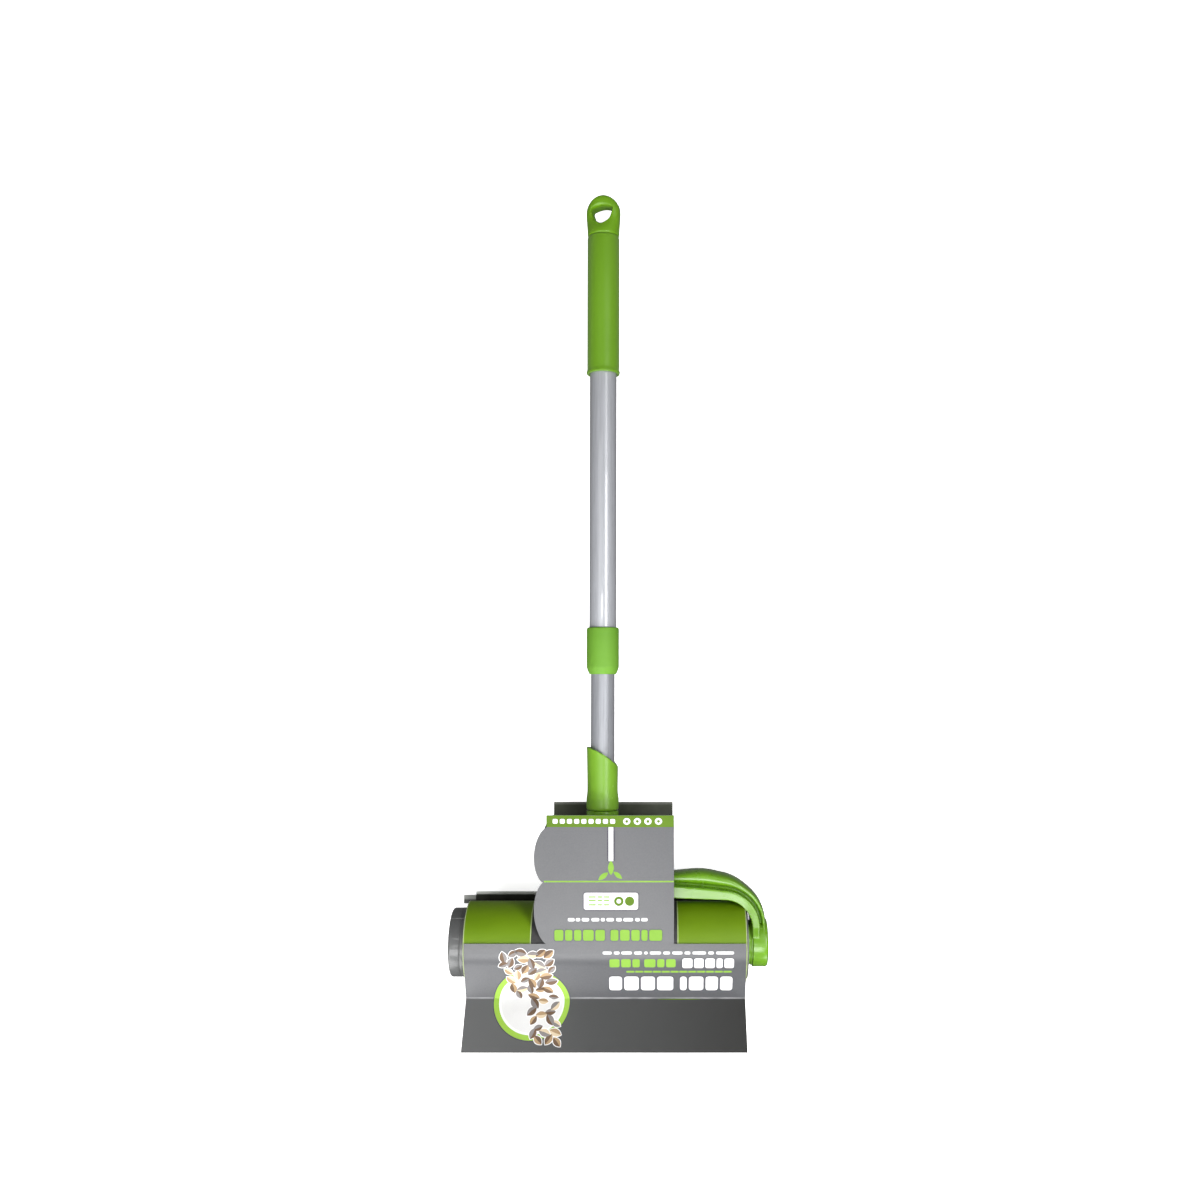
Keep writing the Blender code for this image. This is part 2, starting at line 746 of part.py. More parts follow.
def make_lower_tube(parts, handle, tube_paint, nylon):
    turned(
        "lower_tube",
        ring_profile(LOWER_TUBE_BORE_R, LOWER_TUBE_R, LOWER_TUBE_BASE, LOWER_TUBE_TOP),
        (parts, handle),
        tube_paint,
    )
    plug_r = LOWER_TUBE_BORE_R - CLEAR
    plug_top = LOWER_TUBE_BASE + PLUG_LENGTH
    turned(
        "tube_plug",
        [
            (plug_r, plug_top, EDGE),
            (plug_r, LOWER_TUBE_BASE - CLEAR, 0),
            (LOWER_TUBE_R, LOWER_TUBE_BASE - CLEAR, 0),
            (LOWER_TUBE_R, PLUG_BASE, 0),
            (SPIGOT_R + CLEAR, PLUG_BASE, 0),
            (SPIGOT_R + CLEAR, plug_top, 0),
        ],
        (parts, handle),
        nylon,
        steps=SMALL_STEPS,
    )


def make_guide_bush(parts, handle, nylon):
    """Snaps into the lower tube's top end and guides the upper tube as it slides and turns."""
    spigot_r = LOWER_TUBE_BORE_R - CLEAR
    flange_base = LOWER_TUBE_TOP + CLEAR
    turned(
        "guide_bush",
        [
            (UPPER_TUBE_BORE_R - RUN, flange_base + BUSH_GUIDE_FLANGE, EDGE),
            (UPPER_TUBE_BORE_R - RUN, flange_base, 0),
            (spigot_r, flange_base, 0),
            (spigot_r, LOWER_TUBE_TOP - BUSH_GUIDE_SPIGOT, EDGE),
            (spigot_r - TUBE_WALL * 2, LOWER_TUBE_TOP - BUSH_GUIDE_SPIGOT, 0),
            (spigot_r - TUBE_WALL * 2, flange_base + BUSH_GUIDE_FLANGE, 0),
        ],
        (parts, handle),
        nylon,
        steps=SMALL_STEPS,
    )


def make_upper_tube(parts, upper, tube_paint):
    turned(
        "upper_tube",
        ring_profile(UPPER_TUBE_BORE_R, UPPER_TUBE_R, UPPER_TUBE_BASE, GRIP_TOP),
        (parts, upper),
        tube_paint,
    )


def make_collet(parts, cutters, upper, nylon):
    """Sleeve on the upper tube's end, with slotted fingers that the collar squeezes on the lower tube."""
    finger_r = LOWER_TUBE_R + CLEAR
    sleeve_r = UPPER_TUBE_R + CLEAR
    shoulder = UPPER_TUBE_BASE - CLEAR
    collet = turned(
        "collet",
        [
            (COLLET_R, COLLET_TOP, 0),
            (COLLET_R, shoulder, 0),
            (COLLET_R - COLLET_TAPER, COLLET_BASE, 0),
            (finger_r, COLLET_BASE, 0),
            (finger_r, shoulder, 0),
            (sleeve_r, shoulder, 0),
            (sleeve_r, COLLET_TOP, 0),
        ],
        (parts, upper),
        nylon,
    )
    slot_centre = COLLET_BASE + COLLET_SLOT_LENGTH / 2 - CLEAR
    for index in range(2):
        slot = box(
            f"collet_slot_{index + 1}",
            (4 * COLLET_R, COLLET_SLOT, COLLET_SLOT_LENGTH),
            (0, 0, slot_centre),
            (cutters, upper),
            turn=math.radians(45 + 90 * index),
        )
        combine(collet, slot, "DIFFERENCE")


def make_lock_collar(parts, upper, green):
    bore_r = COLLET_R + CLEAR
    turned(
        "lock_collar",
        [
            (COLLAR_R - EDGE, COLLAR_TOP, 0),
            (COLLAR_R, COLLAR_TOP - EDGE, 0),
            (COLLAR_R, COLLAR_BASE + COLLAR_CHAMFER, COLLAR_CHAMFER_ROUND),
            (COLLAR_R - COLLAR_CHAMFER / 3, COLLAR_BASE, COLLAR_FOOT_ROUND),
            (LOWER_TUBE_R + CLEAR, COLLAR_BASE, 0),
            (LOWER_TUBE_R + CLEAR, COLLAR_BASE + COLLAR_FLOOR, 0),
            (bore_r, COLLAR_BASE + COLLAR_FLOOR, 0),
            (bore_r, COLLAR_TOP - COLLAR_LIP, 0),
            (UPPER_TUBE_R + CLEAR, COLLAR_TOP - COLLAR_LIP, 0),
            (UPPER_TUBE_R + CLEAR, COLLAR_TOP, 0),
        ],
        (parts, upper),
        green,
    )


def make_grip(parts, upper, green):
    turned(
        "grip",
        [
            (GRIP_R, GRIP_TOP, 0),
            (GRIP_R, GRIP_BASE + GRIP_LIP + EDGE, GRIP_NECK_ROUND),
            (GRIP_LIP_R, GRIP_BASE + GRIP_LIP, GRIP_LIP_ROUND),
            (GRIP_LIP_R, GRIP_BASE, EDGE),
            (UPPER_TUBE_R + CLEAR, GRIP_BASE, 0),
            (UPPER_TUBE_R + CLEAR, GRIP_TOP, 0),
        ],
        (parts, upper),
        green,
    )


def hang_cap_rings():
    """Superellipses from the plug in the tube to the flat loop's round top."""
    plug_r = UPPER_TUBE_BORE_R - CLEAR
    rows = [
        (HANG_PLUG_END, plug_r, plug_r, 2.0),
        (HANG_BASE, plug_r, plug_r, 2.0),
        (HANG_BASE, HANG_BASE_R, HANG_BASE_R, 2.0),
    ]
    half_thick = HANG_THICKNESS / 2
    loop_centre = HANG_BASE + HANG_HEIGHT - HANG_LOOP_R
    steps = 6
    for step in range(1, steps + 1):
        share = step / steps
        ease = share * share * (3 - 2 * share)
        wide = HANG_BASE_R + (HANG_LOOP_R - HANG_BASE_R) * ease
        thick = HANG_BASE_R + (half_thick - HANG_BASE_R) * (1 - (1 - ease) ** 1.5)
        rows.append((HANG_BASE + (loop_centre - HANG_BASE) * share, wide, thick, 2 + ease))
    for angle in (20, 38, 54, 67, 77, 84):
        lift = math.sin(math.radians(angle))
        drawn_in = half_thick * (1 - 0.4 * lift**12)
        rows.append(
            (
                loop_centre + HANG_LOOP_R * lift,
                HANG_LOOP_R * math.cos(math.radians(angle)),
                drawn_in,
                3.0,
            )
        )
    rings = []
    for height, wide, thick, power in rows:
        ring = []
        for i in range(HANDLE_STEPS):
            angle = math.tau * i / HANDLE_STEPS
            cosine, sine = math.cos(angle), math.sin(angle)
            x = wide * math.copysign(abs(cosine) ** (2 / power), cosine)
            y = thick * math.copysign(abs(sine) ** (2 / power), sine)
            ring.append((x, y, height))
        rings.append(ring)
    return rings


def hang_hole_outline():
    """A hole like a plectrum: arched top, round corners and sides that close to a round foot."""
    half, top = HANG_HOLE_WIDTH / 2, HANG_HOLE_HEIGHT / 2
    corners = [(half * x, top * y, rounding) for x, y, rounding in HANG_HOLE_CORNERS]
    return round_corners(corners, steps=4)


def make_hanging_cap(parts, cutters, upper, green):
    cap = lofted("hanging_cap", hang_cap_rings(), (parts, upper), green)
    middle = HANG_BASE + HANG_HEIGHT - HANG_LOOP_R - HANG_HOLE_DROP
    rings = [
        [(p.x, side * HANG_THICKNESS, middle + p.y) for p in hang_hole_outline()]
        for side in (-1, 1)
    ]
    combine(cap, lofted("hanging_hole", rings, (cutters, upper)), "DIFFERENCE")


def tongue_edge(y):
    """Left edge of the card's tongue at y: a straight top, then two round lobes with a notch between."""
    band_foot = TONGUE_TOP - BAND_WIDTH
    if y >= band_foot:
        return TONGUE_LEFT
    if y >= TONGUE_CREASE:
        low, high, start, end = TONGUE_CREASE, band_foot, TONGUE_NOTCH, TONGUE_LEFT
    else:
        low, high, start, end = WINDOW_EDGE, TONGUE_CREASE, TONGUE_LEFT, TONGUE_NOTCH
    share = min(1, max(0, (y - low) / (high - low)))
    chord = start + (end - start) * share
    depth = (start + end) / 2 - TONGUE_LOBE
    return chord - depth * max(0, 1 - (2 * share - 1) ** 2) ** LOBE_FULLNESS


def tongue_rows():
    """Heights up the tongue where its outline needs a point, from the window's edge to the top."""
    band_foot = TONGUE_TOP - BAND_WIDTH
    rows = []
    for low, high in ((WINDOW_EDGE, TONGUE_CREASE), (TONGUE_CREASE, band_foot)):
        for step in range(9):
            share = (1 - math.cos(math.pi * step / 9)) / 2
            rows.append(low + (high - low) * share)
    return rows + [band_foot, TONGUE_TOP]


def board(name, rows, place, material):
    """A folded sheet of board. Each row is (y, z, {column: x}), and neighbouring columns are joined."""
    form = bmesh.new()
    lines = []
    for y, z, columns in rows:
        lines.append({column: form.verts.new((x, y, z)) for column, x in columns.items()})
    for near, far in zip(lines, lines[1:]):
        for column in sorted(near):
            corners = [near.get(column), near.get(column + 1), far.get(column + 1), far.get(column)]
            if all(corners):
                form.faces.new(corners)
    bmesh.ops.recalc_face_normals(form, faces=form.faces)
    mesh = bpy.data.meshes.new(name)
    form.to_mesh(mesh)
    form.free()
    sheet = add_object(name, mesh, place, material)
    solid = sheet.modifiers.new("board", "SOLIDIFY")
    solid.thickness = BOARD
    solid.offset = 0
    solid.use_even_offset = True
    return sheet


def wide_columns(y):
    return {
        0: -CARD_HALF_WIDTH,
        1: tongue_edge(max(y, WINDOW_EDGE)),
        2: TONGUE_RIGHT,
        3: CARD_HALF_WIDTH,
    }


def tongue_columns(y):
    return {1: tongue_edge(y), 2: TONGUE_RIGHT}


def make_front_card(parts, card, printed):
    """Tongue, window edge, panel bent over the roll, fold and the rising header."""
    top = AXIS_HEIGHT + TOP_BOARD_R
    rows = []
    for y in reversed(tongue_rows()[1:]):
        lift = TONGUE_RISE * (y - WINDOW_EDGE) / (TONGUE_TOP - WINDOW_EDGE)
        rows.append((y, top + lift, tongue_columns(y)))
    wide = wide_columns(WINDOW_EDGE)
    rows.append((WINDOW_EDGE, top, wide))
    fold = Vector((FOLD_Y, FOLD_HEIGHT - AXIS_HEIGHT))
    turn = math.atan2(-fold.x, fold.y) - math.acos(TOP_BOARD_R / fold.length)
    bends = 4
    for step in range(bends + 1):
        angle = turn * step / bends
        rows.append(
            (-TOP_BOARD_R * math.sin(angle), AXIS_HEIGHT + TOP_BOARD_R * math.cos(angle), wide)
        )
    rows.append((FOLD_Y, FOLD_HEIGHT, wide))
    rows.append(
        (
            FOLD_Y - HEADER_LENGTH * math.cos(HEADER_ANGLE),
            FOLD_HEIGHT + HEADER_LENGTH * math.sin(HEADER_ANGLE),
            wide,
        )
    )
    board("front_card", rows, (parts, card), printed)


def make_back_card(parts, card, printed):
    """Header's second ply, back wall and the floor leaf under the roll, with its ear and tongue."""
    gap = BOARD + CLEAR
    behind = Vector((-math.sin(HEADER_ANGLE), -math.cos(HEADER_ANGLE))) * gap
    fold = Vector((FOLD_Y, FOLD_HEIGHT)) + behind
    up = Vector((-math.cos(HEADER_ANGLE), math.sin(HEADER_ANGLE))) * HEADER_LENGTH
    wide = wide_columns(WINDOW_EDGE)
    eared = dict(wide)
    eared[-1] = -CARD_HALF_WIDTH - EAR_REACH
    floor = BOARD / 2
    rows = [
        (fold.x + up.x, fold.y + up.y, wide),
        (fold.x, fold.y, wide),
        (FLOOR_FOLD_Y, floor, wide),
        (EAR_Y - EAR_WIDTH, floor, eared),
        (EAR_Y, floor, eared),
        (FLOOR_WING_Y, floor, wide_columns(FLOOR_WING_Y)),
    ]
    for y in tongue_rows():
        if FLOOR_WING_Y + BOARD < y < TONGUE_TOP:
            rows.append((y, floor, tongue_columns(y)))
    rows.append((FLOOR_TONGUE_Y, floor, tongue_columns(FLOOR_TONGUE_Y)))
    board("back_card", rows, (parts, card), printed)


def main():
    clear_scene()
    parts = new_collection("lint_roller")
    cutters = new_collection("cutters")
    green = new_material("green_plastic", 112, 160, 45, 0.38)
    grip_green = new_material("grip_rubber", 106, 152, 36, 0.55)
    grey = new_material("grey_plastic", 128, 129, 128, 0.45)
    tube_paint = new_material("painted_tube", 176, 178, 184, 0.35, 0.2)
    nylon = new_material("white_nylon", 214, 214, 208, 0.5)
    steel = new_material("bright_steel", 190, 192, 195, 0.3, 1.0)
    kraft = new_material("core_board", 176, 148, 112, 0.85)
    paper = new_material("sheet_paper", 236, 236, 232, 0.6)
    wrap = new_material("green_wrap", 112, 146, 32, 0.5)
    printed = new_material("printed_board", 116, 116, 118, 0.55)

    frame = new_empty("product_frame", parts, None, (0, 0, AXIS_HEIGHT), (-rest_tilt(), 0, 0))
    roller = new_empty("roller_axis", parts, frame, (0, 0, 0), ON_ROLLER_AXIS)
    handle = new_empty("handle_axis", parts, frame, (HANDLE_X, 0, 0), ON_HANDLE_AXIS)
    upper = new_empty("upper_half", parts, handle, (0, 0, 0), (0, 0, HANG_TURN))
    card = new_empty("card_slide", parts)

    make_head_arm(parts, cutters, frame, roller, green)
    make_hub_fittings(parts, roller, green, steel)
    make_axle_fasteners(parts, roller, steel)
    make_bushes(parts, roller, nylon)
    make_drum(parts, cutters, roller, grey)
    make_end_cap(parts, roller, grey)
    make_refill(parts, roller, kraft, paper, wrap)
    make_socket(parts, cutters, handle, green)
    make_lower_tube(parts, handle, tube_paint, nylon)
    make_guide_bush(parts, handle, nylon)
    make_upper_tube(parts, upper, tube_paint)
    make_collet(parts, cutters, upper, nylon)
    make_lock_collar(parts, upper, green)
    make_grip(parts, upper, grip_green)
    make_hanging_cap(parts, cutters, upper, green)
    make_front_card(parts, card, printed)
    make_back_card(parts, card, printed)


main()
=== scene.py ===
import json
import random
from math import atan, atan2, cos, copysign, hypot, pi, radians, sin, tan, tau

import bmesh
import bpy
from mathutils import Matrix, Vector

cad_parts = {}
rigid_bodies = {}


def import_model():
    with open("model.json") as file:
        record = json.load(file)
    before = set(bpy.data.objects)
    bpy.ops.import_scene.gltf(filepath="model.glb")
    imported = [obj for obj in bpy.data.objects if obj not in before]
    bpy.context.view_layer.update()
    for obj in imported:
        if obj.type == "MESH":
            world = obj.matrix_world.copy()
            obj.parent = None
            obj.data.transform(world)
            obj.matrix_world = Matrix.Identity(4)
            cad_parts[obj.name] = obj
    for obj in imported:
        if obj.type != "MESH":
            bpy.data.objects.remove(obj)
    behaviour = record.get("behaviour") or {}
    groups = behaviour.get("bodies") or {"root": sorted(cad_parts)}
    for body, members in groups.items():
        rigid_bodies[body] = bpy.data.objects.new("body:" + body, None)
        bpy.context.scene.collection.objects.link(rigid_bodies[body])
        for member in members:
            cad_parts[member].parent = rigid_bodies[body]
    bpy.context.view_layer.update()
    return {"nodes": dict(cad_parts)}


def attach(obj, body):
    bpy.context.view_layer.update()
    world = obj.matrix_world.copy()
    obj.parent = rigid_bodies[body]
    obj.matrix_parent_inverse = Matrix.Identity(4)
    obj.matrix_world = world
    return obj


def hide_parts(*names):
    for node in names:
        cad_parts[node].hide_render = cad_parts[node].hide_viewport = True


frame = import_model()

# --- Stage ---
# The roller lies on a white studio floor that glows: evenly beyond the head, and dimmed under
# the head by ambient occlusion into painted contact shade. It is seen from straight above. Soft
# boxes hang over the near side, at the left and low in front, and tall narrow ones along the
# right draw the line of light on the handle.


def new_node(tree, kind, inputs=(), **settings):
    """Adds a shader node. Its inputs are set to values, or joined to other nodes' outputs."""
    added = tree.nodes.new("ShaderNode" + kind)
    for setting, value in settings.items():
        setattr(added, setting, value)
    for socket, value in dict(inputs).items():
        if isinstance(value, bpy.types.NodeSocket):
            tree.links.new(value, added.inputs[socket])
        else:
            added.inputs[socket].default_value = value
    return added


def screen_colour(red, green, blue):
    """A colour as read from a screen, 0 to 255, in the shader's linear values."""
    levels = [level / 255 for level in (red, green, blue)]
    linear = [v / 12.92 if v <= 0.04045 else ((v + 0.055) / 1.055) ** 2.4 for v in levels]
    return (*linear, 1)


def graded(tree, factor, *stops):
    """A colour ramp over a factor, through stops of (position, screen colour)."""
    ramp = new_node(tree, "ValToRGB", {"Fac": factor})
    points = ramp.color_ramp.elements
    while len(points) < len(stops):
        points.new(0.5)
    for point, (position, colour) in zip(points, stops):
        point.position = position
        point.color = screen_colour(*colour)
    return ramp.outputs["Color"]


def spread(tree, value, low, high, to_low, to_high):
    """Carries a value from one range to another, held at its ends."""
    ends = {"From Min": low, "From Max": high, "To Min": to_low, "To Max": to_high}
    return new_node(tree, "MapRange", {"Value": value, **ends}).outputs["Result"]


def worked(tree, operation, first, second=0.0, third=0.0):
    """One step of arithmetic on values or node outputs."""
    values = {0: first, 1: second, 2: third}
    return new_node(tree, "Math", values, operation=operation).outputs["Value"]


def blended(tree, share, *colours):
    """Two colours mixed by a share of the second, each from a screen or from another node."""
    first, second = [screen_colour(*c) if isinstance(c, tuple) else c for c in colours]
    mix = {"Fac": share, "Color1": first, "Color2": second}
    return new_node(tree, "MixRGB", mix).outputs["Color"]


def own_place(tree):
    """Where a point lies in the piece's own space, axis by axis."""
    place = new_node(tree, "TexCoord").outputs["Object"]
    return new_node(tree, "SeparateXYZ", {"Vector": place}).outputs


def mottle(tree, scale, detail=3, stretch=(1, 1, 1), rough=0.5):
    """Noise in the piece's own space, stretched where a finish runs one way."""
    place = new_node(tree, "TexCoord").outputs["Object"]
    placed = new_node(tree, "Mapping", {"Vector": place, "Scale": stretch}).outputs["Vector"]
    wanted = {"Vector": placed, "Scale": scale, "Detail": detail, "Roughness": rough}
    return new_node(tree, "TexNoise", wanted).outputs["Fac"]


def new_finish(name, **constants):
    """A material and its shader, with what is the same all over set on the shader itself."""
    material = bpy.data.materials.new(name)
    material.use_nodes = True
    shader = material.node_tree.nodes["Principled BSDF"]
    for socket, value in constants.items():
        shader.inputs[socket.replace("_", " ")].default_value = value
    return material, material.node_tree, shader


def wire(tree, shader, colour, gloss, relief=None):
    """Joins a finish to its shader: its colour, its roughness as a pattern carried to a range, and
    its relief as a pattern with a depth in metres and a strength."""
    pattern, low, high = gloss
    tree.links.new(colour, shader.inputs["Base Color"])
    tree.links.new(spread(tree, pattern, 0.3, 0.7, low, high), shader.inputs["Roughness"])
    if relief:
        bump = dict(zip(("Height", "Distance", "Strength"), relief))
        tree.links.new(new_node(tree, "Bump", bump).outputs["Normal"], shader.inputs["Normal"])


bpy.ops.object.select_all(action="DESELECT")
bpy.ops.mesh.primitive_plane_add(size=9, location=(0, 0.3, -0.0002))
studio_floor = bpy.context.object
studio_floor.name = "studio_floor"
floor_glow_painted_shade, tree, shader = new_finish("floor_glow_painted_shade", Emission_Color=(1, 1, 1, 1))
# Painted contact shade: the floor's glow is dimmed where ambient occlusion finds the roller close
# above it. Beyond the head the floor glows at full strength.
open_floor = new_node(tree, "AmbientOcclusion", {"Distance": 0.035}, samples=8).outputs["AO"]
beyond_head = spread(tree, own_place(tree)["Y"], -0.24, -0.18, 0.0, 1.0)
glow_with_painted_shade = spread(tree, open_floor, 0.25, 0.60, 0.05, 0.75)
tree.links.new(worked(tree, "MAXIMUM", glow_with_painted_shade, beyond_head), shader.inputs["Emission Strength"])
wire(
    tree,
    shader,
    graded(tree, mottle(tree, 3), (0.3, (243.4, 243.4, 243.4)), (0.7, (247, 247, 247))),
    (mottle(tree, 40), 0.6, 0.7),
)
studio_floor.data.materials.append(floor_glow_painted_shade)
studio_floor.visible_diffuse = studio_floor.visible_glossy = False


def hang_light(name, place, aim, width, length, power):
    """A soft box at a place, facing a point, with its length along the handle."""
    back = (Vector(place) - Vector(aim)).normalized()
    length_way = (Vector((0, 1, 0)) - back * back.y).normalized()
    turn = Matrix((length_way.cross(back), length_way, back)).transposed().to_euler()
    bpy.ops.object.light_add(type="AREA", location=place, rotation=turn)
    light = bpy.context.object
    light.name = name
    light.data.shape = "RECTANGLE"
    light.data.size = width
    light.data.size_y = length
    light.data.energy = power


hang_light("soft_box", (-0.25, -0.72, 1.80), (-0.25, -0.72, 0.0), 1.2, 0.76, 22)
hang_light("left_box", (-0.65, 0.42, 1.60), (0.0, 0.42, 0.0), 0.9, 1.3, 4.0)
hang_light("small_box", (-0.16, 0.03, 1.80), (-0.16, 0.03, 0.0), 0.5, 0.18, 1.8)
hang_light("side_box", (-0.85, -0.80, 0.85), (0.0, 0.1, 0.0), 0.6, 0.6, 6)
hang_light("front_box", (-0.60, -1.15, 0.50), (-0.10, 0.0, 0.04), 1.2, 0.6, 11)
hang_light("hub_box", (0.62, -1.10, 0.55), (0.13, 0.0, 0.04), 0.5, 0.5, 5)
hang_light("right_box", (0.60, 0.26, 1.05), (0.0, 0.26, 0.0), 0.34, 0.98, 8.5)
hang_light("grip_box", (0.60, 1.01, 1.05), (0.0, 1.01, 0.0), 0.34, 0.50, 1.4)

sky = bpy.data.worlds.new("studio_sky")
sky.use_nodes = True
sky.node_tree.nodes["Background"].inputs["Color"].default_value = (1.0, 1.0, 1.0, 1)
sky.node_tree.nodes["Background"].inputs["Strength"].default_value = 0.16
bpy.context.scene.world = sky
bpy.context.scene.view_settings.view_transform = "Standard"

bpy.ops.object.camera_add(location=(0.0446, 0.2787, 1.100), rotation=(0, 0, 0))
overhead_camera = bpy.context.object
overhead_camera.name = "overhead_camera"
overhead_camera.data.sensor_width = 36
overhead_camera.data.lens = 34.5
overhead_camera.data.shift_x = -55 / 1200
overhead_camera.data.shift_y = 40 / 1200
bpy.context.scene.camera = overhead_camera

# --- Drum, bushes and axle ---
# The grey moulded drum turns on a steel axle in two white nylon bushes. A washer and a screw in
# the axle's free end hold it on. These pieces keep their built shape, with their edges broken as
# a mould or a lathe leaves them.


def moulded_plastic(name, deep, face, worn, gloss=(0.34, 0.46), coat=0.0):
    """Dyed plastic from a sparked mould: slightly cloudy, finely grained, paler where it rubs."""
    material, tree, shader = new_finish(name, Coat_Weight=coat, Coat_Roughness=0.16)
    dye = graded(tree, mottle(tree, 26, 4), (0.32, deep), (0.68, face))
    edge = new_node(tree, "NewGeometry").outputs["Pointiness"]
    on_edge = spread(tree, edge, 0.53, 0.62, 0, 0.75)
    rubbed = worked(tree, "MULTIPLY", on_edge, mottle(tree, 160, 3))
    wire(
        tree,
        shader,
        blended(tree, rubbed, dye, worn),
        (mottle(tree, 60, 3), *gloss),
        (mottle(tree, 1700, 2), 0.00006, 0.35),
    )
    return material


def dress(piece, *finishes):
    """Gives a piece its materials in place of any it has."""
    piece.data.materials.clear()
    for material in finishes:
        piece.data.materials.append(material)


def alone(piece):
    """Leaves one piece selected and active, because an operator acts on all that is selected."""
    if bpy.context.mode != "OBJECT":
        bpy.ops.object.mode_set(mode="OBJECT")
    bpy.ops.object.select_all(action="DESELECT")
    piece.select_set(True)
    bpy.context.view_layer.objects.active = piece


def in_edit(piece):
    """Opens a piece for editing with all of it selected."""
    alone(piece)
    bpy.ops.object.mode_set(mode="EDIT")
    bpy.ops.mesh.select_all(action="SELECT")


def modify(piece, kind, **settings):
    """Puts a modifier with these settings on a piece, and applies it."""
    alone(piece)
    modifier = piece.modifiers.new(kind.lower(), kind)
    for setting, value in settings.items():
        setattr(modifier, setting, value)
    bpy.ops.object.modifier_apply(modifier=modifier.name)


def break_edges(piece, width, segments=2, above=38):
    """Rounds every edge sharper than an angle, then shades the piece smooth."""
    limit = {"limit_method": "ANGLE", "angle_limit": radians(above)}
    modify(piece, "BEVEL", width=width, segments=segments, **limit)
    bpy.ops.object.shade_smooth_by_angle(angle=radians(32))


def from_solid(node, name, edge):
    """A welded copy of a built solid, with its edges broken, that stands for it."""
    piece = bpy.data.objects.new(name, frame["nodes"][node].data.copy())
    bpy.context.scene.collection.objects.link(piece)
    in_edit(piece)
    bpy.ops.mesh.remove_doubles(threshold=0.000002)
    bpy.ops.mesh.dissolve_limited(angle_limit=radians(0.5))
    break_edges(piece, edge)
    return piece


grey_plastic = moulded_plastic(
    "grey_plastic",
    (88, 89, 89), (98, 100, 100), (150, 151, 150),
    gloss=(0.28, 0.38),
    coat=0.4,
)

nylon, tree, shader = new_finish("white_nylon", Subsurface_Weight=0.05)
wire(
    tree,
    shader,
    graded(tree, mottle(tree, 90, 3), (0.3, (206, 205, 196)), (0.7, (222, 221, 214))),
    (mottle(tree, 300), 0.42, 0.55),
    (mottle(tree, 900), 0.00004, 0.3),
)

steel, tree, shader = new_finish("turned_steel", Metallic=1.0)
turning_lines = mottle(tree, 260, 4, stretch=(14, 1, 1))
wire(
    tree,
    shader,
    graded(tree, turning_lines, (0.3, (168, 170, 174)), (0.7, (206, 207, 210))),
    (turning_lines, 0.22, 0.38),
    (turning_lines, 0.00003, 0.4),
)

ROLLER_PIECES = (
    ("drum", "roller", "ribbed_drum", grey_plastic, "grey_plastic", 0.0002),
    ("hub_bush", "roller", "hub_side_bush", nylon, "white_nylon", 0.00012),
    ("end_bush", "roller", "free_end_bush", nylon, "white_nylon", 0.00012),
    ("roller_axle", "head", "steel_axle", steel, "bright_steel", 0.00015),
    ("axle_washer", "head", "steel_washer", steel, "bright_steel", 0.0001),
)
for node, body, name, finish, slot, edge in ROLLER_PIECES:
    piece = from_solid(node, name, edge)
    dress(piece, finish)
    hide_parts(node)
    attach(piece, body)

# --- Axle screw ---
# A plated pan-head screw with a cross recess, driven into the axle's free end over the washer.
# Its head lies at the bottom of the end cap's round recess.
TILT = 0.034802  # the lying handle runs down towards its far end, where the grip rests
AXIS_HEIGHT = 0.0379
product = Matrix.Translation((0, 0, AXIS_HEIGHT)) @ Matrix.Rotation(-TILT, 4, "X")
across_handle = Matrix.Rotation(radians(90), 4, "Y")
on_roller_axis = product @ across_handle


def lathe(name, rings, steps=128, solid=False):
    """A turned piece: a circle drawn through rings of (radius, height) up its own axis. A wall
    ends on its first ring and a solid in flat faces. It is left in edit mode."""
    bpy.ops.object.select_all(action="DESELECT")
    radius, height = rings[0]
    fill = "NGON" if solid else "NOTHING"
    bpy.ops.mesh.primitive_circle_add(vertices=steps, radius=radius, fill_type=fill)
    piece = bpy.context.object
    piece.name = piece.data.name = name
    in_edit(piece)
    bpy.ops.transform.translate(value=(0, 0, height))
    for wide, high in rings[1:]:
        bpy.ops.mesh.extrude_region_move(TRANSFORM_OT_translate={"value": (0, 0, high - height)})
        share = wide / radius
        bpy.ops.transform.resize(value=(share, share, 1), center_override=(0, 0, high))
        radius, height = wide, high
    bpy.ops.mesh.select_all(action="SELECT")
    bpy.ops.mesh.remove_doubles(threshold=0.000001)
    bpy.ops.mesh.normals_make_consistent(inside=False)
    return piece


def round_ring(radius, height, width, segments=6):
    """Rounds the edge that runs round a turned piece at this radius and height."""
    mesh = bpy.context.object.data
    bpy.ops.mesh.select_mode(type="EDGE")
    bpy.ops.mesh.select_all(action="DESELECT")
    form = bmesh.from_edit_mesh(mesh)
    for edge in form.edges:
        ends = [(vert.co.xy.length, vert.co.z) for vert in edge.verts]
        edge.select_set(all(abs(r - radius) < 1e-5 and abs(z - height) < 1e-5 for r, z in ends))
    bmesh.update_edit_mesh(mesh)
    bpy.ops.mesh.bevel(offset=width, segments=segments, affect="EDGES", clamp_overlap=True)


def seat(piece, place):
    """Puts a piece made at the origin in its place, and keeps that place in its mesh."""
    alone(piece)
    piece.matrix_world = place
    bpy.ops.object.transform_apply(location=True, rotation=True, scale=True)


def cut(piece, cutter, operation="DIFFERENCE"):
    """Cuts a piece with another, or joins them into one skin, and drops the second one."""
    modify(piece, "BOOLEAN", object=cutter, operation=operation, solver="EXACT")
    bpy.data.objects.remove(cutter, do_unlink=True)


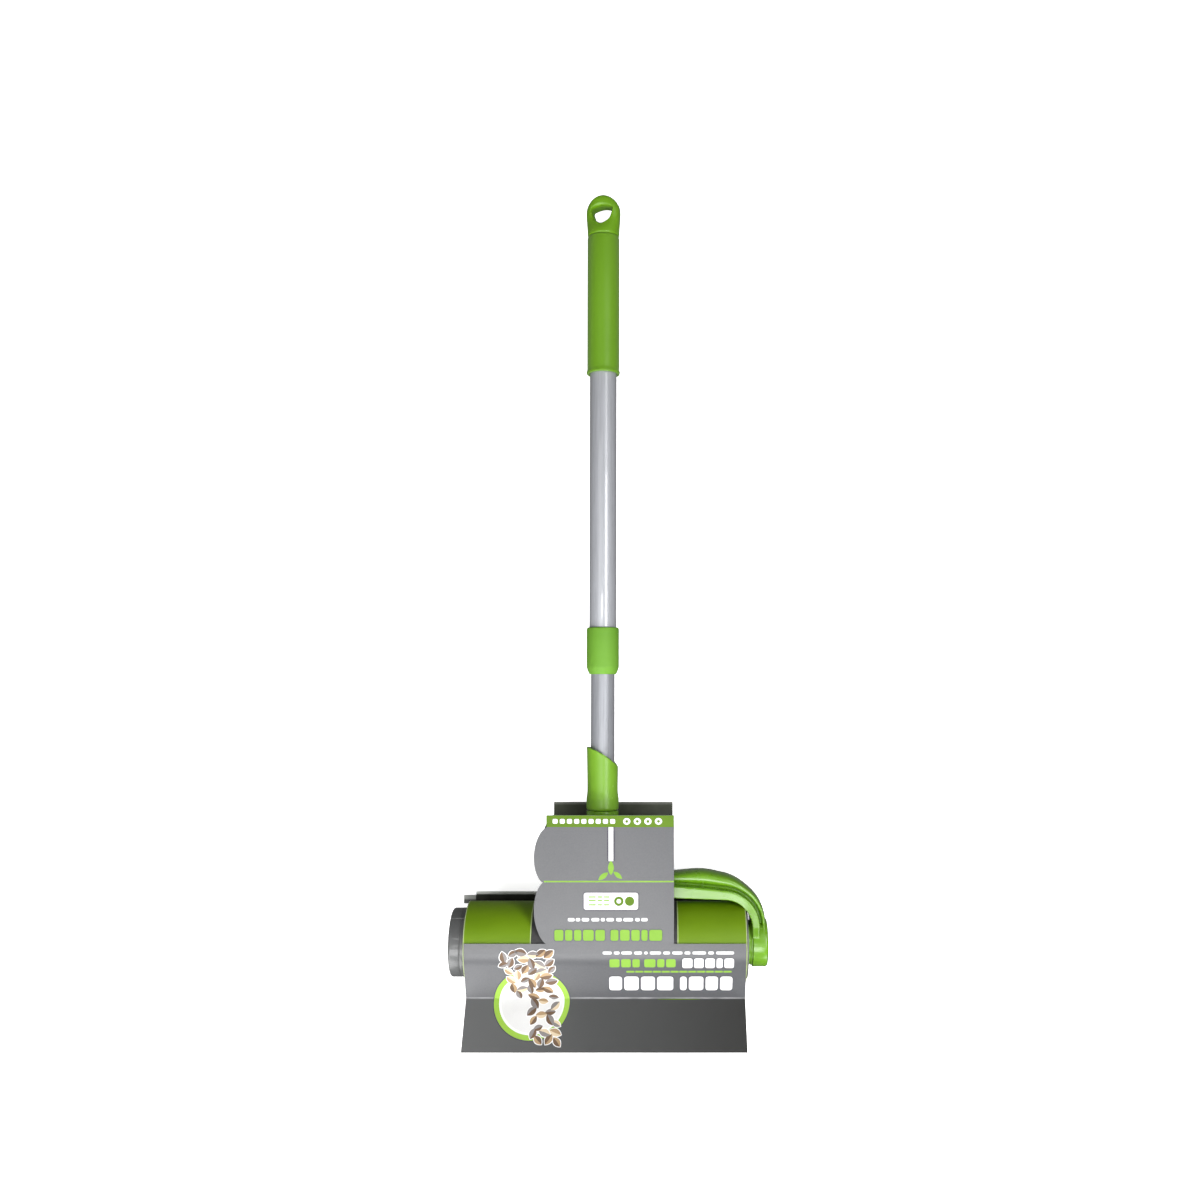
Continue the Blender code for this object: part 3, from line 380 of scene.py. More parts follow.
HEAD_BASE, HEAD_TOP = -0.13810, -0.13570
screw = lathe(
    "pan_head_screw",
    [
        (0.0012, -0.12520), (0.0019, -0.12590), (0.0019, HEAD_TOP), (0.0045, HEAD_TOP),
        (0.0045, HEAD_BASE + 0.0010), (0.0041, HEAD_BASE + 0.0004), (0.0030, HEAD_BASE),
    ],
    steps=48,
    solid=True,
)
for turn in (0, 90):
    alone(screw)
    across = {"location": (0, 0, HEAD_BASE), "rotation": (0, 0, radians(turn))}
    bpy.ops.mesh.primitive_cube_add(size=1, **across)
    blade = bpy.context.object
    blade.scale = (0.0046, 0.0009, 0.0026)
    in_edit(blade)
    bpy.ops.mesh.bevel(offset=0.12, segments=1, affect="EDGES")
    cut(screw, blade)
seat(screw, on_roller_axis)
break_edges(screw, 0.00008)
dress(screw, steel)
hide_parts("axle_screw")
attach(screw, "head")

# --- End cap ---
# A grey plug of the drum's own plastic closes the free end: a broad collar as wide as the drum,
# a rounded outer edge, and the recess for the screw. Its mould left one fine raised line.
CAP_R, CAP_FACE = 0.031, -0.1415
end_cap = lathe(
    "grey_end_cap",
    [
        (CAP_R, -0.1273), (CAP_R, -0.1310), (CAP_R - 0.0004, -0.1313), (CAP_R - 0.0004, -0.1317),
        (CAP_R, -0.1320), (CAP_R, CAP_FACE), (0.0225, CAP_FACE), (0.0220, -0.1410),
        (0.0195, -0.1410), (0.0190, CAP_FACE), (0.0090, CAP_FACE), (0.0090, -0.1330),
        (0.0073, -0.1330), (0.0073, -0.1210), (0.0117, -0.1210), (0.0117, -0.1395),
        (0.0265, -0.1395), (0.0265, -0.1150), (0.0285, -0.1150), (0.0285, -0.1273),
        (CAP_R, -0.1273),
    ],
)
round_ring(CAP_R, CAP_FACE, 0.0016)
round_ring(0.0090, CAP_FACE, 0.0006, 4)
break_edges(end_cap, 0.00012)
bpy.ops.object.select_all(action="DESELECT")
bpy.ops.mesh.primitive_cube_add(size=1, location=(-0.0178, 0.0252, -0.1344))
mould_line = bpy.context.object
mould_line.rotation_euler = (0, 0, atan2(0.0252, -0.0178))
mould_line.scale = (0.0010, 0.0011, 0.0125)
bpy.ops.object.transform_apply(location=True, rotation=True, scale=True)
break_edges(mould_line, 0.0002)
alone(end_cap)
mould_line.select_set(True)
bpy.ops.object.join()
seat(end_cap, on_roller_axis)
dress(end_cap, grey_plastic)
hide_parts("end_cap")
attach(end_cap, "roller")

# --- Refill core ---
# A spiral-wound cardboard tube under the sheets. The strip's butt joint runs round it as a fine
# screw line, and its ends are cut square.
END = 0.127


def on_axis(tree):
    """Where a point lies about the roller's axis: how far along it, how far off it, its angle."""
    place = new_node(tree, "TexCoord").outputs["Object"]
    centred = new_node(tree, "Mapping", {"Vector": place, "Location": (0, 0, -AXIS_HEIGHT)})
    parts = new_node(tree, "SeparateXYZ", {"Vector": centred.outputs["Vector"]})
    sideways = new_node(tree, "CombineXYZ", {"Y": parts.outputs["Y"], "Z": parts.outputs["Z"]})
    away = new_node(tree, "VectorMath", {0: sideways.outputs["Vector"]}, operation="LENGTH")
    angle = new_node(
        tree, "Math", {0: parts.outputs["Z"], 1: parts.outputs["Y"]}, operation="ARCTAN2"
    )
    return parts.outputs["X"], away.outputs["Value"], angle.outputs["Value"]


kraft_board, tree, shader = new_finish("kraft_board")
along, away, angle = on_axis(tree)
turns = worked(tree, "MULTIPLY_ADD", angle, 1 / tau, worked(tree, "MULTIPLY", along, 22))
joint = worked(tree, "PINGPONG", turns, 0.5)
fibre = mottle(tree, 420, 5, stretch=(1, 4, 4))
seam = spread(tree, joint, 0.0, 0.018, 0.0, 1.0)
flecks = graded(tree, fibre, (0.32, (150, 122, 86)), (0.66, (184, 156, 118)))
wire(
    tree,
    shader,
    blended(tree, seam, (104, 80, 54), flecks),
    (fibre, 0.78, 0.92),
    (worked(tree, "ADD", worked(tree, "MULTIPLY", seam, 2), fibre), 0.00008, 0.5),
)
refill_core = lathe(
    "cardboard_core",
    [(0.0331, -END), (0.0331, END), (0.0315, END), (0.0315, -END), (0.0331, -END)],
)
break_edges(refill_core, 0.00015)
seat(refill_core, on_roller_axis)
dress(refill_core, kraft_board)
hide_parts("refill_core")
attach(refill_core, "refill")

# --- Adhesive sheets ---
# White paper with a tacky face, wound many turns deep. The ends show the turns as fine rings, a
# few of them standing proud where the winding wandered.
tacky_paper, tree, shader = new_finish("tacky_paper", Coat_Weight=0.15, Coat_Roughness=0.3)
along, away, angle = on_axis(tree)
wound = worked(tree, "MULTIPLY_ADD", angle, 0.00012 / tau, away)
layer = worked(tree, "PINGPONG", worked(tree, "MULTIPLY", wound, 1 / 0.00024), 0.5)
turn_tone = mottle(tree, 500, 3)
at_end = spread(tree, worked(tree, "ABSOLUTE", along), END - 0.0003, END - 0.0001, 0, 1)
edge_tone = graded(tree, layer, (0.05, (176, 174, 166)), (0.5, (240, 239, 233)))
face_tone = graded(tree, turn_tone, (0.3, (233, 233, 229)), (0.7, (243, 243, 240)))
wire(
    tree,
    shader,
    blended(tree, at_end, face_tone, edge_tone),
    (turn_tone, 0.45, 0.6),
    (worked(tree, "ADD", layer, turn_tone), 0.00008, 0.6),
)
sheets = lathe(
    "wound_sheets",
    [
        (0.0363, -END + 0.0002), (0.0363, END - 0.0002), (0.0357, END - 0.0001), (0.0354, END),
        (0.0351, END - 0.0001), (0.0342, END - 0.0001), (0.0334, END), (0.0334, -END),
        (0.0343, -END + 0.0001), (0.0350, -END + 0.0001), (0.0353, -END), (0.0357, -END + 0.0001),
        (0.0363, -END + 0.0002),
    ],
)
break_edges(sheets, 0.0001)
seat(sheets, on_roller_axis)
dress(sheets, tacky_paper)
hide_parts("adhesive_sheets")
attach(sheets, "refill")

# --- Outer wrap ---
# The new roll's printed paper wrap: satin green at both ends, and dark grey in the middle under
# the card, a grey print made darker still as painted shade from the card's tongue. A pale line
# runs where the colours meet and where the paper is cut, and a faint one along the roll where its
# own end overlaps.
wrap_print, tree, shader = new_finish("wrap_print", Specular_IOR_Level=0.35)
along, away, angle = on_axis(tree)
green_tone = graded(
    tree,
    mottle(tree, 30, 4, stretch=(0.4, 1, 1)),
    (0.3, (104, 138, 4)),
    (0.7, (116, 151, 10)),
)
# The middle's grey is darker than its print alone: painted shade from the card's tongue.
grey_print_and_painted_shade_tone = graded(tree, mottle(tree, 70, 4), (0.35, (50, 50, 51)), (0.62, (70, 69, 69)))
from_middle = worked(tree, "ABSOLUTE", worked(tree, "ADD", along, 0.0008))
in_middle = spread(tree, from_middle, 0.0652, 0.0654, 1.0, 0.0)
ground = blended(tree, in_middle, green_tone, grey_print_and_painted_shade_tone)
from_join = worked(tree, "ABSOLUTE", worked(tree, "SUBTRACT", from_middle, 0.0659))
colour_line = spread(tree, from_join, 0.0002, 0.0005, 0.8, 0.0)
cut_line = spread(tree, worked(tree, "ABSOLUTE", along), END - 0.0009, END - 0.0005, 0.0, 0.8)
from_overlap = worked(tree, "ABSOLUTE", worked(tree, "SUBTRACT", angle, 2.62))
overlap_line = spread(tree, from_overlap, 0.004, 0.008, 0.6, 0.0)
pale = worked(tree, "MAXIMUM", worked(tree, "MAXIMUM", colour_line, cut_line), overlap_line)
wrinkle = mottle(tree, 36, 3, stretch=(0.3, 1, 1))
wire(
    tree,
    shader,
    blended(tree, pale, ground, (196, 208, 160)),
    (mottle(tree, 120, 3), 0.40, 0.52),
    (wrinkle, 0.0006, 0.25),
)
WRAP_R = 0.0370
outer_wrap = lathe(
    "printed_wrap",
    [
        (WRAP_R, -END), (WRAP_R, -0.08), (WRAP_R, 0.0), (WRAP_R, 0.08), (WRAP_R, END),
        (0.0366, END), (0.0366, -END), (WRAP_R, -END),
    ],
    steps=160,
)
break_edges(outer_wrap, 0.0001, 1)
seat(outer_wrap, on_roller_axis)
dress(outer_wrap, wrap_print)
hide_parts("outer_wrap")
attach(outer_wrap, "refill")

# --- Hub ring and cover ---
# Two small green mouldings on the arm's hub: a ring with a fine lip between hub and drum, and a
# domed disc snapped into the hub's outer end over the axle's head.
green_plastic = moulded_plastic(
    "green_plastic",
    (103, 155, 20), (112, 166, 28), (176, 214, 128),
    gloss=(0.24, 0.32),
    coat=0.6,
)
socket_green = moulded_plastic(
    "socket_green",
    (120, 172, 38), (129, 182, 48), (182, 220, 136),
    gloss=(0.36, 0.46),
    coat=0.15,
)
hub_ring = lathe(
    "hub_side_ring",
    [
        (0.0205, 0.1291), (0.0205, 0.1306), (0.0198, 0.1309), (0.0198, 0.1316), (0.0205, 0.1319),
        (0.0205, 0.1333), (0.0042, 0.1333), (0.0042, 0.1304), (0.0088, 0.1304), (0.0088, 0.1291),
        (0.0205, 0.1291),
    ],
)
break_edges(hub_ring, 0.00025, 3)
hub_cover = lathe(
    "domed_hub_cover",
    [
        (0.0146, 0.1444), (0.0150, 0.1447), (0.0150, 0.1461), (0.0146, 0.1464), (0.0132, 0.14685),
        (0.0112, 0.14728), (0.0088, 0.14767), (0.0062, 0.14797), (0.0034, 0.14815),
        (0.0010, 0.14820),
    ],
    steps=96,
    solid=True,
)
break_edges(hub_cover, 0.0002, 2, above=50)
for piece, node in ((hub_ring, "hub_ring"), (hub_cover, "hub_cover")):
    seat(piece, on_roller_axis)
    dress(piece, green_plastic)
    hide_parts(node)
    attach(piece, "head")

# --- Head arm ---
# One green moulding: the round stem that takes the handle, its fillets, and the arm that reaches
# over the roll's end and bends down to the hub. Two flat rims run along its inner edge, and a
# channel parts each from the round crest between them. The mould eased all its corners.
HANDLE_X, FLARE_REACH = -0.004, 0.029
RIDGE_SHARE, RIDGE_INSET, CHANNEL_INSET = 0.45, 0.0034, 0.0100
ARM_STATIONS = (
    (0.0, 0.0040, 0.0055, 0.0120, 0.0), (0.5, 0.0075, 0.0120, 0.0160, 0.0),
    (1.0, 0.0112, 0.0191, 0.0175, 0.0), (1.4, 0.0112, 0.0196, 0.0180, 0.0),
    (1.8, 0.0102, 0.0251, 0.0180, 0.0015), (2.0, 0.0086, 0.0219, 0.0180, 0.0032),
    (2.3, 0.0078, 0.0170, 0.0180, 0.0036), (2.6, 0.0074, 0.0150, 0.0186, 0.0036),
    (3.0, 0.0066, 0.0127, 0.0204, 0.0034), (3.4, 0.0064, 0.0130, 0.0224, 0.0012),
    (4.0, 0.0062, 0.0122, 0.0226, 0.0),
)  # place along the arm, rim width, crest height, half width across, hollow of the inner face


def arm_sizes(position):
    """The arm's sizes at a place along it, on smooth curves through the stations."""
    last = len(ARM_STATIONS) - 2
    index = max(i for i in range(last + 1) if i == 0 or ARM_STATIONS[i][0] <= position)
    low, high = ARM_STATIONS[index], ARM_STATIONS[index + 1]
    before, after = ARM_STATIONS[max(index - 1, 0)], ARM_STATIONS[min(index + 2, last + 1)]
    span = high[0] - low[0]
    share = (position - low[0]) / span
    sizes = []
    for k in range(1, len(low)):
        leave = (high[k] - before[k]) / (high[0] - before[0]) * span
        arrive = (after[k] - low[k]) / (after[0] - low[0]) * span
        rise = high[k] - low[k]
        bend = 3 * rise - 2 * leave - arrive
        twist = leave + arrive - 2 * rise
        sizes.append(low[k] + share * (leave + share * (bend + share * twist)))
    return sizes


def arm_line(position):
    """A point on the arm's inner edge, and the outward direction there."""
    slope, bend_r = 0.0375, 0.025
    corner = Vector((0.1330, 0.0403))
    along = Vector((1, -slope)).normalized()
    outward = Vector((slope, 1)).normalized()
    swing = pi / 2 - atan(slope)
    start = corner - along * bend_r * tan(swing / 2)
    stem = corner - along * (corner.x - HANDLE_X) / along.x
    if position <= 1:
        return stem - along * FLARE_REACH * (1 - position), outward
    if position <= 2:
        return stem.lerp(start, position - 1), outward
    turn = swing * min(position - 2, 1)
    facing = outward * cos(turn) + along * sin(turn)
    end = start - outward * bend_r + facing * bend_r
    if position <= 3:
        return end, facing
    return end.lerp(Vector((end.x, 0)), position - 3), facing


def arm_section(position):
    """The closed section there: inner face, rims that fall inwards, and the ridge between them."""
    point, outward = arm_line(position)
    rim, crest, half, hollow = arm_sizes(position)
    ease, fall, foot = 0.0005, 0.0006, rim + min(0.0028, 0.4 * (crest - rim))
    ridge_out, ridge_high = foot + RIDGE_SHARE * (crest - foot), half - RIDGE_INSET
    channel = half - CHANNEL_INSET
    side = [
        (hollow * 0.92, half * 0.25), (hollow * 0.75, half * 0.5), (hollow * 0.35, half * 0.78),
        (0, half - fall - ease), (ease, half - fall), (rim / 2, half - fall / 2),
        (rim - ease, half), (rim, half - ease), (rim, half - 0.0028), (rim, half - 0.0052),
        (rim + 0.0002, channel),
    ]
    for step in range(18):
        angle = pi * (1 - step / 18)
        level = sin(angle) ** 0.8
        if step < 9:
            off_top = (foot - ridge_out) * abs(cos(angle)) ** 0.8
            high = channel + (ridge_high - channel) * level
        else:
            off_top = (crest - ridge_out) * abs(cos(angle)) ** 0.8
            high = ridge_high * level
        side.append((ridge_out + off_top, high + 0.05 * off_top * level))
    outline = [(hollow, 0)] + side + [(crest, 0)] + [(o, -a) for o, a in reversed(side)]
    return [(point.x + outward.x * o, point.y + outward.y * o, a) for o, a in outline]


def draw_through(name, sections):
    """A solid drawn through closed sections that have the same number of points."""
    bpy.ops.object.select_all(action="DESELECT")
    bpy.ops.mesh.primitive_circle_add(vertices=len(sections[0]), radius=0.01, fill_type="NGON")
    piece = bpy.context.object
    piece.name = piece.data.name = name
    in_edit(piece)
    form = bmesh.from_edit_mesh(piece.data)
    order = form.verts.layers.int.new("order")
    for index, vert in enumerate(form.verts):
        vert[order] = index
    for number, section in enumerate(sections):
        if number:
            bpy.ops.mesh.extrude_region_move()
        form = bmesh.from_edit_mesh(piece.data)
        order = form.verts.layers.int["order"]
        for vert in form.verts:
            if vert.select:
                vert.co = section[vert[order]]
        bmesh.update_edit_mesh(piece.data)
    bpy.ops.mesh.select_all(action="SELECT")
    bpy.ops.mesh.normals_make_consistent(inside=False)
    bpy.ops.object.mode_set(mode="OBJECT")
    return piece


def ease_all(piece, voxel, passes, keep):
    """Makes one skin of a piece and eases its corners, then thins the skin to a share of it."""
    modify(piece, "REMESH", mode="VOXEL", voxel_size=voxel)
    modify(piece, "SMOOTH", factor=0.5, iterations=passes)
    modify(piece, "DECIMATE", ratio=keep)
    bpy.ops.object.shade_smooth()


arm_places = []
for stretch, rows in enumerate((9, 26, 24)):
    arm_places += [stretch + row / rows for row in range(rows)]
arm_places += [3 + 0.52 * row / 6 for row in range(7)]
head_arm = draw_through("green_head_arm", [arm_section(place) for place in arm_places])

STEM_R, SPIGOT_R = 0.015, 0.007
stem_sections = []
for row in range(19):
    height = 0.0505 + 0.0465 * row / 18
    right = min(1, (0.097 - height) / 0.0335)
    left = max(0, (0.072 - height) / 0.0215)
    wings = (STEM_R + 0.0115 * left**1.8, STEM_R + 0.0325 * right**1.8)
    stem_sections.append((height, *wings, STEM_R))
stem_sections += [
    (0.1204, STEM_R, STEM_R, STEM_R), (0.1212, 0.0142, 0.0142, 0.0142),
    (0.1212, SPIGOT_R, SPIGOT_R, SPIGOT_R), (0.1510, SPIGOT_R, SPIGOT_R, SPIGOT_R),
    (0.1517, 0.0062, 0.0062, 0.0062),
]
stem_rings = []
for height, left, right, thick in stem_sections:
    middle, wide = HANDLE_X + (right - left) / 2, (left + right) / 2
    round_it = [tau * i / 72 for i in range(72)]
    stem_rings.append([(middle + wide * cos(a), height, thick * sin(a)) for a in round_it])
cut(head_arm, draw_through("stem", stem_rings), "UNION")
ease_all(head_arm, 0.0006, 3, 0.5)

HUB_R, HUB_BACK, HUB_FACE = 0.0220, 0.1336, 0.1475
hub = lathe("hub", [(HUB_R, HUB_BACK), (HUB_R, HUB_FACE)], solid=True)
round_ring(HUB_R, HUB_FACE, 0.0025, 8)
round_ring(HUB_R, HUB_BACK, 0.0007, 4)
seat(hub, across_handle)
cut(head_arm, hub, "UNION")
hub_bores = lathe(
    "hub_bores",
    [
        (0.0153, 0.1500), (0.0153, 0.1441), (0.0073, 0.1441), (0.0073, 0.1409), (0.0042, 0.1409),
        (0.0042, 0.1300),
    ],
    steps=96,
    solid=True,
)
seat(hub_bores, across_handle)
cut(head_arm, hub_bores)
bpy.ops.object.shade_smooth_by_angle(angle=radians(32))
seat(head_arm, product)
dress(head_arm, green_plastic)
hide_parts("head_arm")
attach(head_arm, "head")

# --- Tube socket ---
# A green sleeve over the tube's lower end and the stem's spigot. Its mouth is scooped from high
# on one side to low on the other, its foot flares at a soft crease and closes in a round lip.
along_handle = (
    product @ Matrix.Translation((HANDLE_X, 0, 0)) @ Matrix.Rotation(radians(-90), 4, "X")
)
tube_socket = lathe(
    "scooped_socket",
    [
        (0.0130, 0.1215), (0.0144, 0.1219), (0.0149, 0.1232), (0.01492, 0.1320),
        (0.01445, 0.1352), (0.01408, 0.1385), (0.01405, 0.1450), (0.01430, 0.1600),
        (0.01475, 0.1806), (0.0113, 0.1806), (0.0113, 0.1260), (0.0073, 0.1260), (0.0073, 0.1215),
        (0.0130, 0.1215),
    ],
)
bpy.ops.object.mode_set(mode="OBJECT")
SCOOP_HALF = 0.01475
high, low, bulge = Vector((-SCOOP_HALF, 0.1798)), Vector((SCOOP_HALF, 0.1607)), 0.0032
chord = low - high
across = Vector((-chord.y, chord.x)).normalized()
scoop_r = (chord.length**2 / 4 + bulge**2) / (2 * bulge)
scoop_centre = (high + low) / 2 + across * (bulge - scoop_r)
scoop_line = []
for step in range(25):
    angle = radians(52) * (step / 12 - 1)
    direction = across * cos(angle) + chord.normalized() * sin(angle)
    scoop_line.append(scoop_centre + direction * scoop_r)
scoop_line += [Vector((0.06, 0.20)), Vector((-0.03, 0.20))]
scoop_sides = [[(p.x, side * 0.022, p.y) for p in scoop_line] for side in (-1, 1)]
cut(tube_socket, draw_through("scoop", scoop_sides))
ease_all(tube_socket, 0.00042, 8, 0.6)
seat(tube_socket, along_handle)
dress(tube_socket, socket_green)
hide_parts("tube_socket")
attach(tube_socket, "head")

# --- Tubes ---
# Two thin steel tubes powder-painted silver grey. The lower one, which the collar runs on, is
# satin with fine lines along it. The upper one has a clear coat that gives a sharp line of light.


def painted_tube(name, deep, face, gloss, coat):
    """Silver-grey tube paint with fine flake, faint draw lines along the tube, and scuffs."""
    material, tree, shader = new_finish(
        name, Metallic=0.25, Coat_Weight=coat, Coat_Roughness=0.06, Coat_IOR=1.62
    )
    lines = mottle(tree, 900, 3, stretch=(1, 0.012, 1))
    flake = mottle(tree, 2600, 1)
    tone = worked(tree, "MULTIPLY_ADD", worked(tree, "SUBTRACT", flake, 0.5), 0.25, lines)
    base = graded(tree, tone, (0.34, deep), (0.66, face))
    scuff = spread(tree, mottle(tree, 130, 6, stretch=(1, 0.2, 1), rough=0.75), 0.66, 0.78, 0, 0.4)
    wire(
        tree,
        shader,
        blended(tree, scuff, base, (150, 151, 155)),
        (lines, *gloss),
        (lines, 0.00002, 0.2),
    )
    return material


satin_tube = painted_tube("satin_tube_paint", (148, 150, 155), (160, 162, 168), (0.36, 0.44), 0.0)
glossy_tube = painted_tube(
    "glossy_tube_paint", (170, 172, 177), (180, 182, 188), (0.40, 0.48), 0.9
)
LOWER_R, UPPER_R = 0.0110, 0.0125
lower_tube = lathe(
    "satin_lower_tube",
    [
        (LOWER_R, 0.1284), (LOWER_R, 0.3), (LOWER_R, 0.6264), (0.0100, 0.6264), (0.0100, 0.1284),
        (LOWER_R, 0.1284),
    ],
)
break_edges(lower_tube, 0.0002)
seat(lower_tube, along_handle)
dress(lower_tube, satin_tube)
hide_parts("lower_tube")
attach(lower_tube, "head")

upper_half = along_handle @ Matrix.Rotation(radians(10), 4, "Z")
upper_tube = lathe(
    "glossy_upper_tube",
    [
        (UPPER_R, 0.2621), (UPPER_R, 0.4), (UPPER_R, 0.6584), (0.0115, 0.6584), (0.0115, 0.2621),
        (UPPER_R, 0.2621),
    ],
)
break_edges(upper_tube, 0.0002)
seat(upper_tube, upper_half)
dress(upper_tube, glossy_tube)
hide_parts("upper_tube")
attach(upper_tube, "upper")

# --- Plug, guide bush and collet ---
# Three white nylon mouldings inside the handle: the plug that takes the stem's spigot, the bush
# that guides one tube in the other, and the slotted collet that the collar squeezes.
for node, body, name in (
    ("tube_plug", "head", "nylon_tube_plug"), ("guide_bush", "guide", "nylon_guide_bush"),
    ("collet", "upper", "slotted_collet"),
):
    piece = from_solid(node, name, 0.00012)
    dress(piece, nylon)
    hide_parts(node)
    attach(piece, body)

# --- Lock collar ---
# The twist-lock collar, in a brighter and more matt green than the arm. Its top has a small
# chamfer, its foot a longer one, and a hair line of shadow parts it from each tube.
collar_green = moulded_plastic(
    "collar_green",
    (104, 158, 40), (113, 168, 50), (166, 212, 116),
    gloss=(0.62, 0.72),
)
COLLAR_R = 0.0150
lock_collar = lathe(
    "twist_lock_collar",
    [
        (0.0122, 0.2470), (0.0128, 0.2477), (COLLAR_R, 0.2530), (COLLAR_R, 0.2893),
        (0.0141, 0.2904), (0.0128, 0.2904), (0.0128, 0.2886), (0.0142, 0.2886), (0.0142, 0.2505),
        (0.0113, 0.2505), (0.0113, 0.2470), (0.0122, 0.2470),
    ],
)
round_ring(COLLAR_R, 0.2530, 0.0018)
round_ring(COLLAR_R, 0.2893, 0.0003, 3)
round_ring(0.0122, 0.2470, 0.0003, 3)
break_edges(lock_collar, 0.00015)
seat(lock_collar, upper_half)
dress(lock_collar, collar_green)
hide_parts("lock_collar")
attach(lock_collar, "collar")

# --- Grip ---
# A soft green sleeve pushed over the tube, matt and finely grained, with a thin rolled lip at its
# lower end that catches the light.
grip_rubber, tree, shader = new_finish("grip_rubber", Sheen_Weight=0.15, Sheen_Roughness=0.5)
hand_wear = mottle(tree, 14, 4, stretch=(1, 0.35, 1))
leather = mottle(tree, 1100, 3)
wire(
    tree,
    shader,
    graded(tree, hand_wear, (0.3, (98, 146, 8)), (0.7, (110, 160, 16))),
    (hand_wear, 0.42, 0.52),
    (leather, 0.0001, 0.4),
)
grip = lathe(
    "soft_grip",
    [
        (0.0150, 0.5283), (0.0155, 0.5287), (0.0156, 0.5296), (0.0155, 0.5306), (0.0151, 0.5316),
        (0.0150, 0.5340), (0.0150, 0.6), (0.0150, 0.6566), (0.0146, 0.6578), (0.0140, 0.6584),
        (0.0128, 0.6584), (0.0128, 0.5283), (0.0150, 0.5283),
    ],
)
break_edges(grip, 0.0002, 3, above=42)
seat(grip, upper_half)
dress(grip, grip_rubber)
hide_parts("grip")
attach(grip, "upper")

# --- Hanging cap ---
# The handle's moulded end: round where it meets the grip, flattening to a rounded loop with a
# hole for a hook. The hole's rim is well rounded, and a plug holds the cap in the tube.
cap_green = moulded_plastic(
    "cap_green",
    (100, 150, 12), (112, 163, 22), (168, 208, 114),
    gloss=(0.34, 0.44),
    coat=0.1,
)
LOOP_R, LOOP_CENTRE, HALF_THICK = 0.0161, 0.6815, 0.0085
CAP_FOOT, CAP_FOOT_R, HOLE_MIDDLE = 0.6592, 0.0148, 0.6781
cap_rows = [
    (0.6347, 0.0105, 0.0105, 2.0), (0.6354, 0.0112, 0.0112, 2.0), (0.6587, 0.0112, 0.0112, 2.0),
    (0.6587, 0.0136, 0.0136, 2.0), (0.6589, 0.0142, 0.0142, 2.0), (0.6593, 0.0146, 0.0146, 2.0),
    (0.6599, 0.01478, 0.01478, 2.0),
]


def cap_row(height):
    """The cap's section at a height up the handle, from round at the grip to flat at the loop."""
    share = min(1, (height - CAP_FOOT) / (LOOP_CENTRE - CAP_FOOT))
    ease = share * share * (3 - 2 * share)
    wide = CAP_FOOT_R + (LOOP_R - CAP_FOOT_R) * ease
    thick = CAP_FOOT_R + (HALF_THICK - CAP_FOOT_R) * (1 - (1 - ease) ** 1.5)
    return height, wide, thick, 2 + 0.8 * ease


cap_rows += [cap_row(CAP_FOOT + (LOOP_CENTRE - CAP_FOOT) * step / 14) for step in range(1, 15)]
for lean in (8, 16, 24, 32, 40, 47, 54, 60, 66, 71, 76, 80, 84):
    lift = sin(radians(lean))
    drawn_in = HALF_THICK * (1 - 0.45 * lift**10)
    cap_rows.append((LOOP_CENTRE + LOOP_R * lift, LOOP_R * cos(radians(lean)), drawn_in, 2.8))
cap_sections = []
for height, wide, thick, power in cap_rows:
    section = []
    for i in range(96):
        cosine, sine = cos(tau * i / 96), sin(tau * i / 96)
        x = wide * copysign(abs(cosine) ** (2 / power), cosine)
        y = thick * copysign(abs(sine) ** (2 / power), sine)
        section.append((x, y, height))
    cap_sections.append(section)
hanging_cap = draw_through("looped_hanging_cap", cap_sections)

hole_corners = (
    (-0.0106, 0.0064, 0.0024), (0.0, 0.0094, 0.016), (0.0106, 0.0064, 0.0024),
    (0.0070, -0.0040, 0.008), (0.0, -0.0086, 0.0045), (-0.0070, -0.0040, 0.008),
)  # across, along and rounding, about the hole's middle
hole_line = []
for index, (x, y, rounding) in enumerate(hole_corners):
    here = Vector((x, y))
    back = (Vector(hole_corners[index - 1][:2]) - here).normalized()
    ahead = (Vector(hole_corners[(index + 1) % 6][:2]) - here).normalized()
    half_turn = back.angle(ahead) / 2
    centre = here + (back + ahead).normalized() * rounding / sin(half_turn)
    start = here + back * rounding / tan(half_turn) - centre
    for step in range(9):
        swing = (2 * half_turn - pi) * step / 8
        if back.x * ahead.y - back.y * ahead.x < 0:
            swing = -swing
        hole_line.append(centre + Matrix.Rotation(swing, 2) @ start)
MOUTH = ((1.7, 0.0060), (1.0, 0.0024), (0.88, 0.0011), (0.74, 0.0004), (0.5, 0.0))
# depth as a share of the cap's half thickness, and how far the hole has flared there
hole_sides = []
for side, rows in ((-1, MOUTH), (1, MOUTH[::-1])):
    for depth, grown in rows:
        section = []
        for point in hole_line:
            x, y = point * (1 + grown / point.length)
            height = HOLE_MIDDLE + y
            section.append((x, side * depth * cap_row(height)[2], height))
        hole_sides.append(section)
cut(hanging_cap, draw_through("hanging_hole", hole_sides))
ease_all(hanging_cap, 0.0004, 3, 0.5)
seat(hanging_cap, along_handle @ Matrix.Rotation(radians(-13), 4, "Z"))
dress(hanging_cap, cap_green)
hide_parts("hanging_cap")
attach(hanging_cap, "upper")

# --- Display card, front ---
# A die-cut sheet of coated board, printed grey. Its tongue covers the stem, its panel bends over
# the roll and creases at a fold, and its header rises towards the near side. It is drawn flat,
# as it was cut, scored at each bend and then folded into place.
BOARD = 0.0006
TONGUE_LEFT, TONGUE_NOTCH, TONGUE_LOBE, TONGUE_RIGHT = -0.052, -0.0548, -0.0632, 0.0615
BAND_FOOT, TONGUE_TOP, CREASE = 0.1038, 0.1148, 0.0546
CARD_SIDE, HEADER_END = 0.126, -0.10273
BEND_R, BEND_START, BEND_TURN = 0.0377, -0.008, 0.34412
FOLD, CREASE_R = -0.05473, 0.0009
FOLD_POINT = Vector((-0.0445, 0.062))


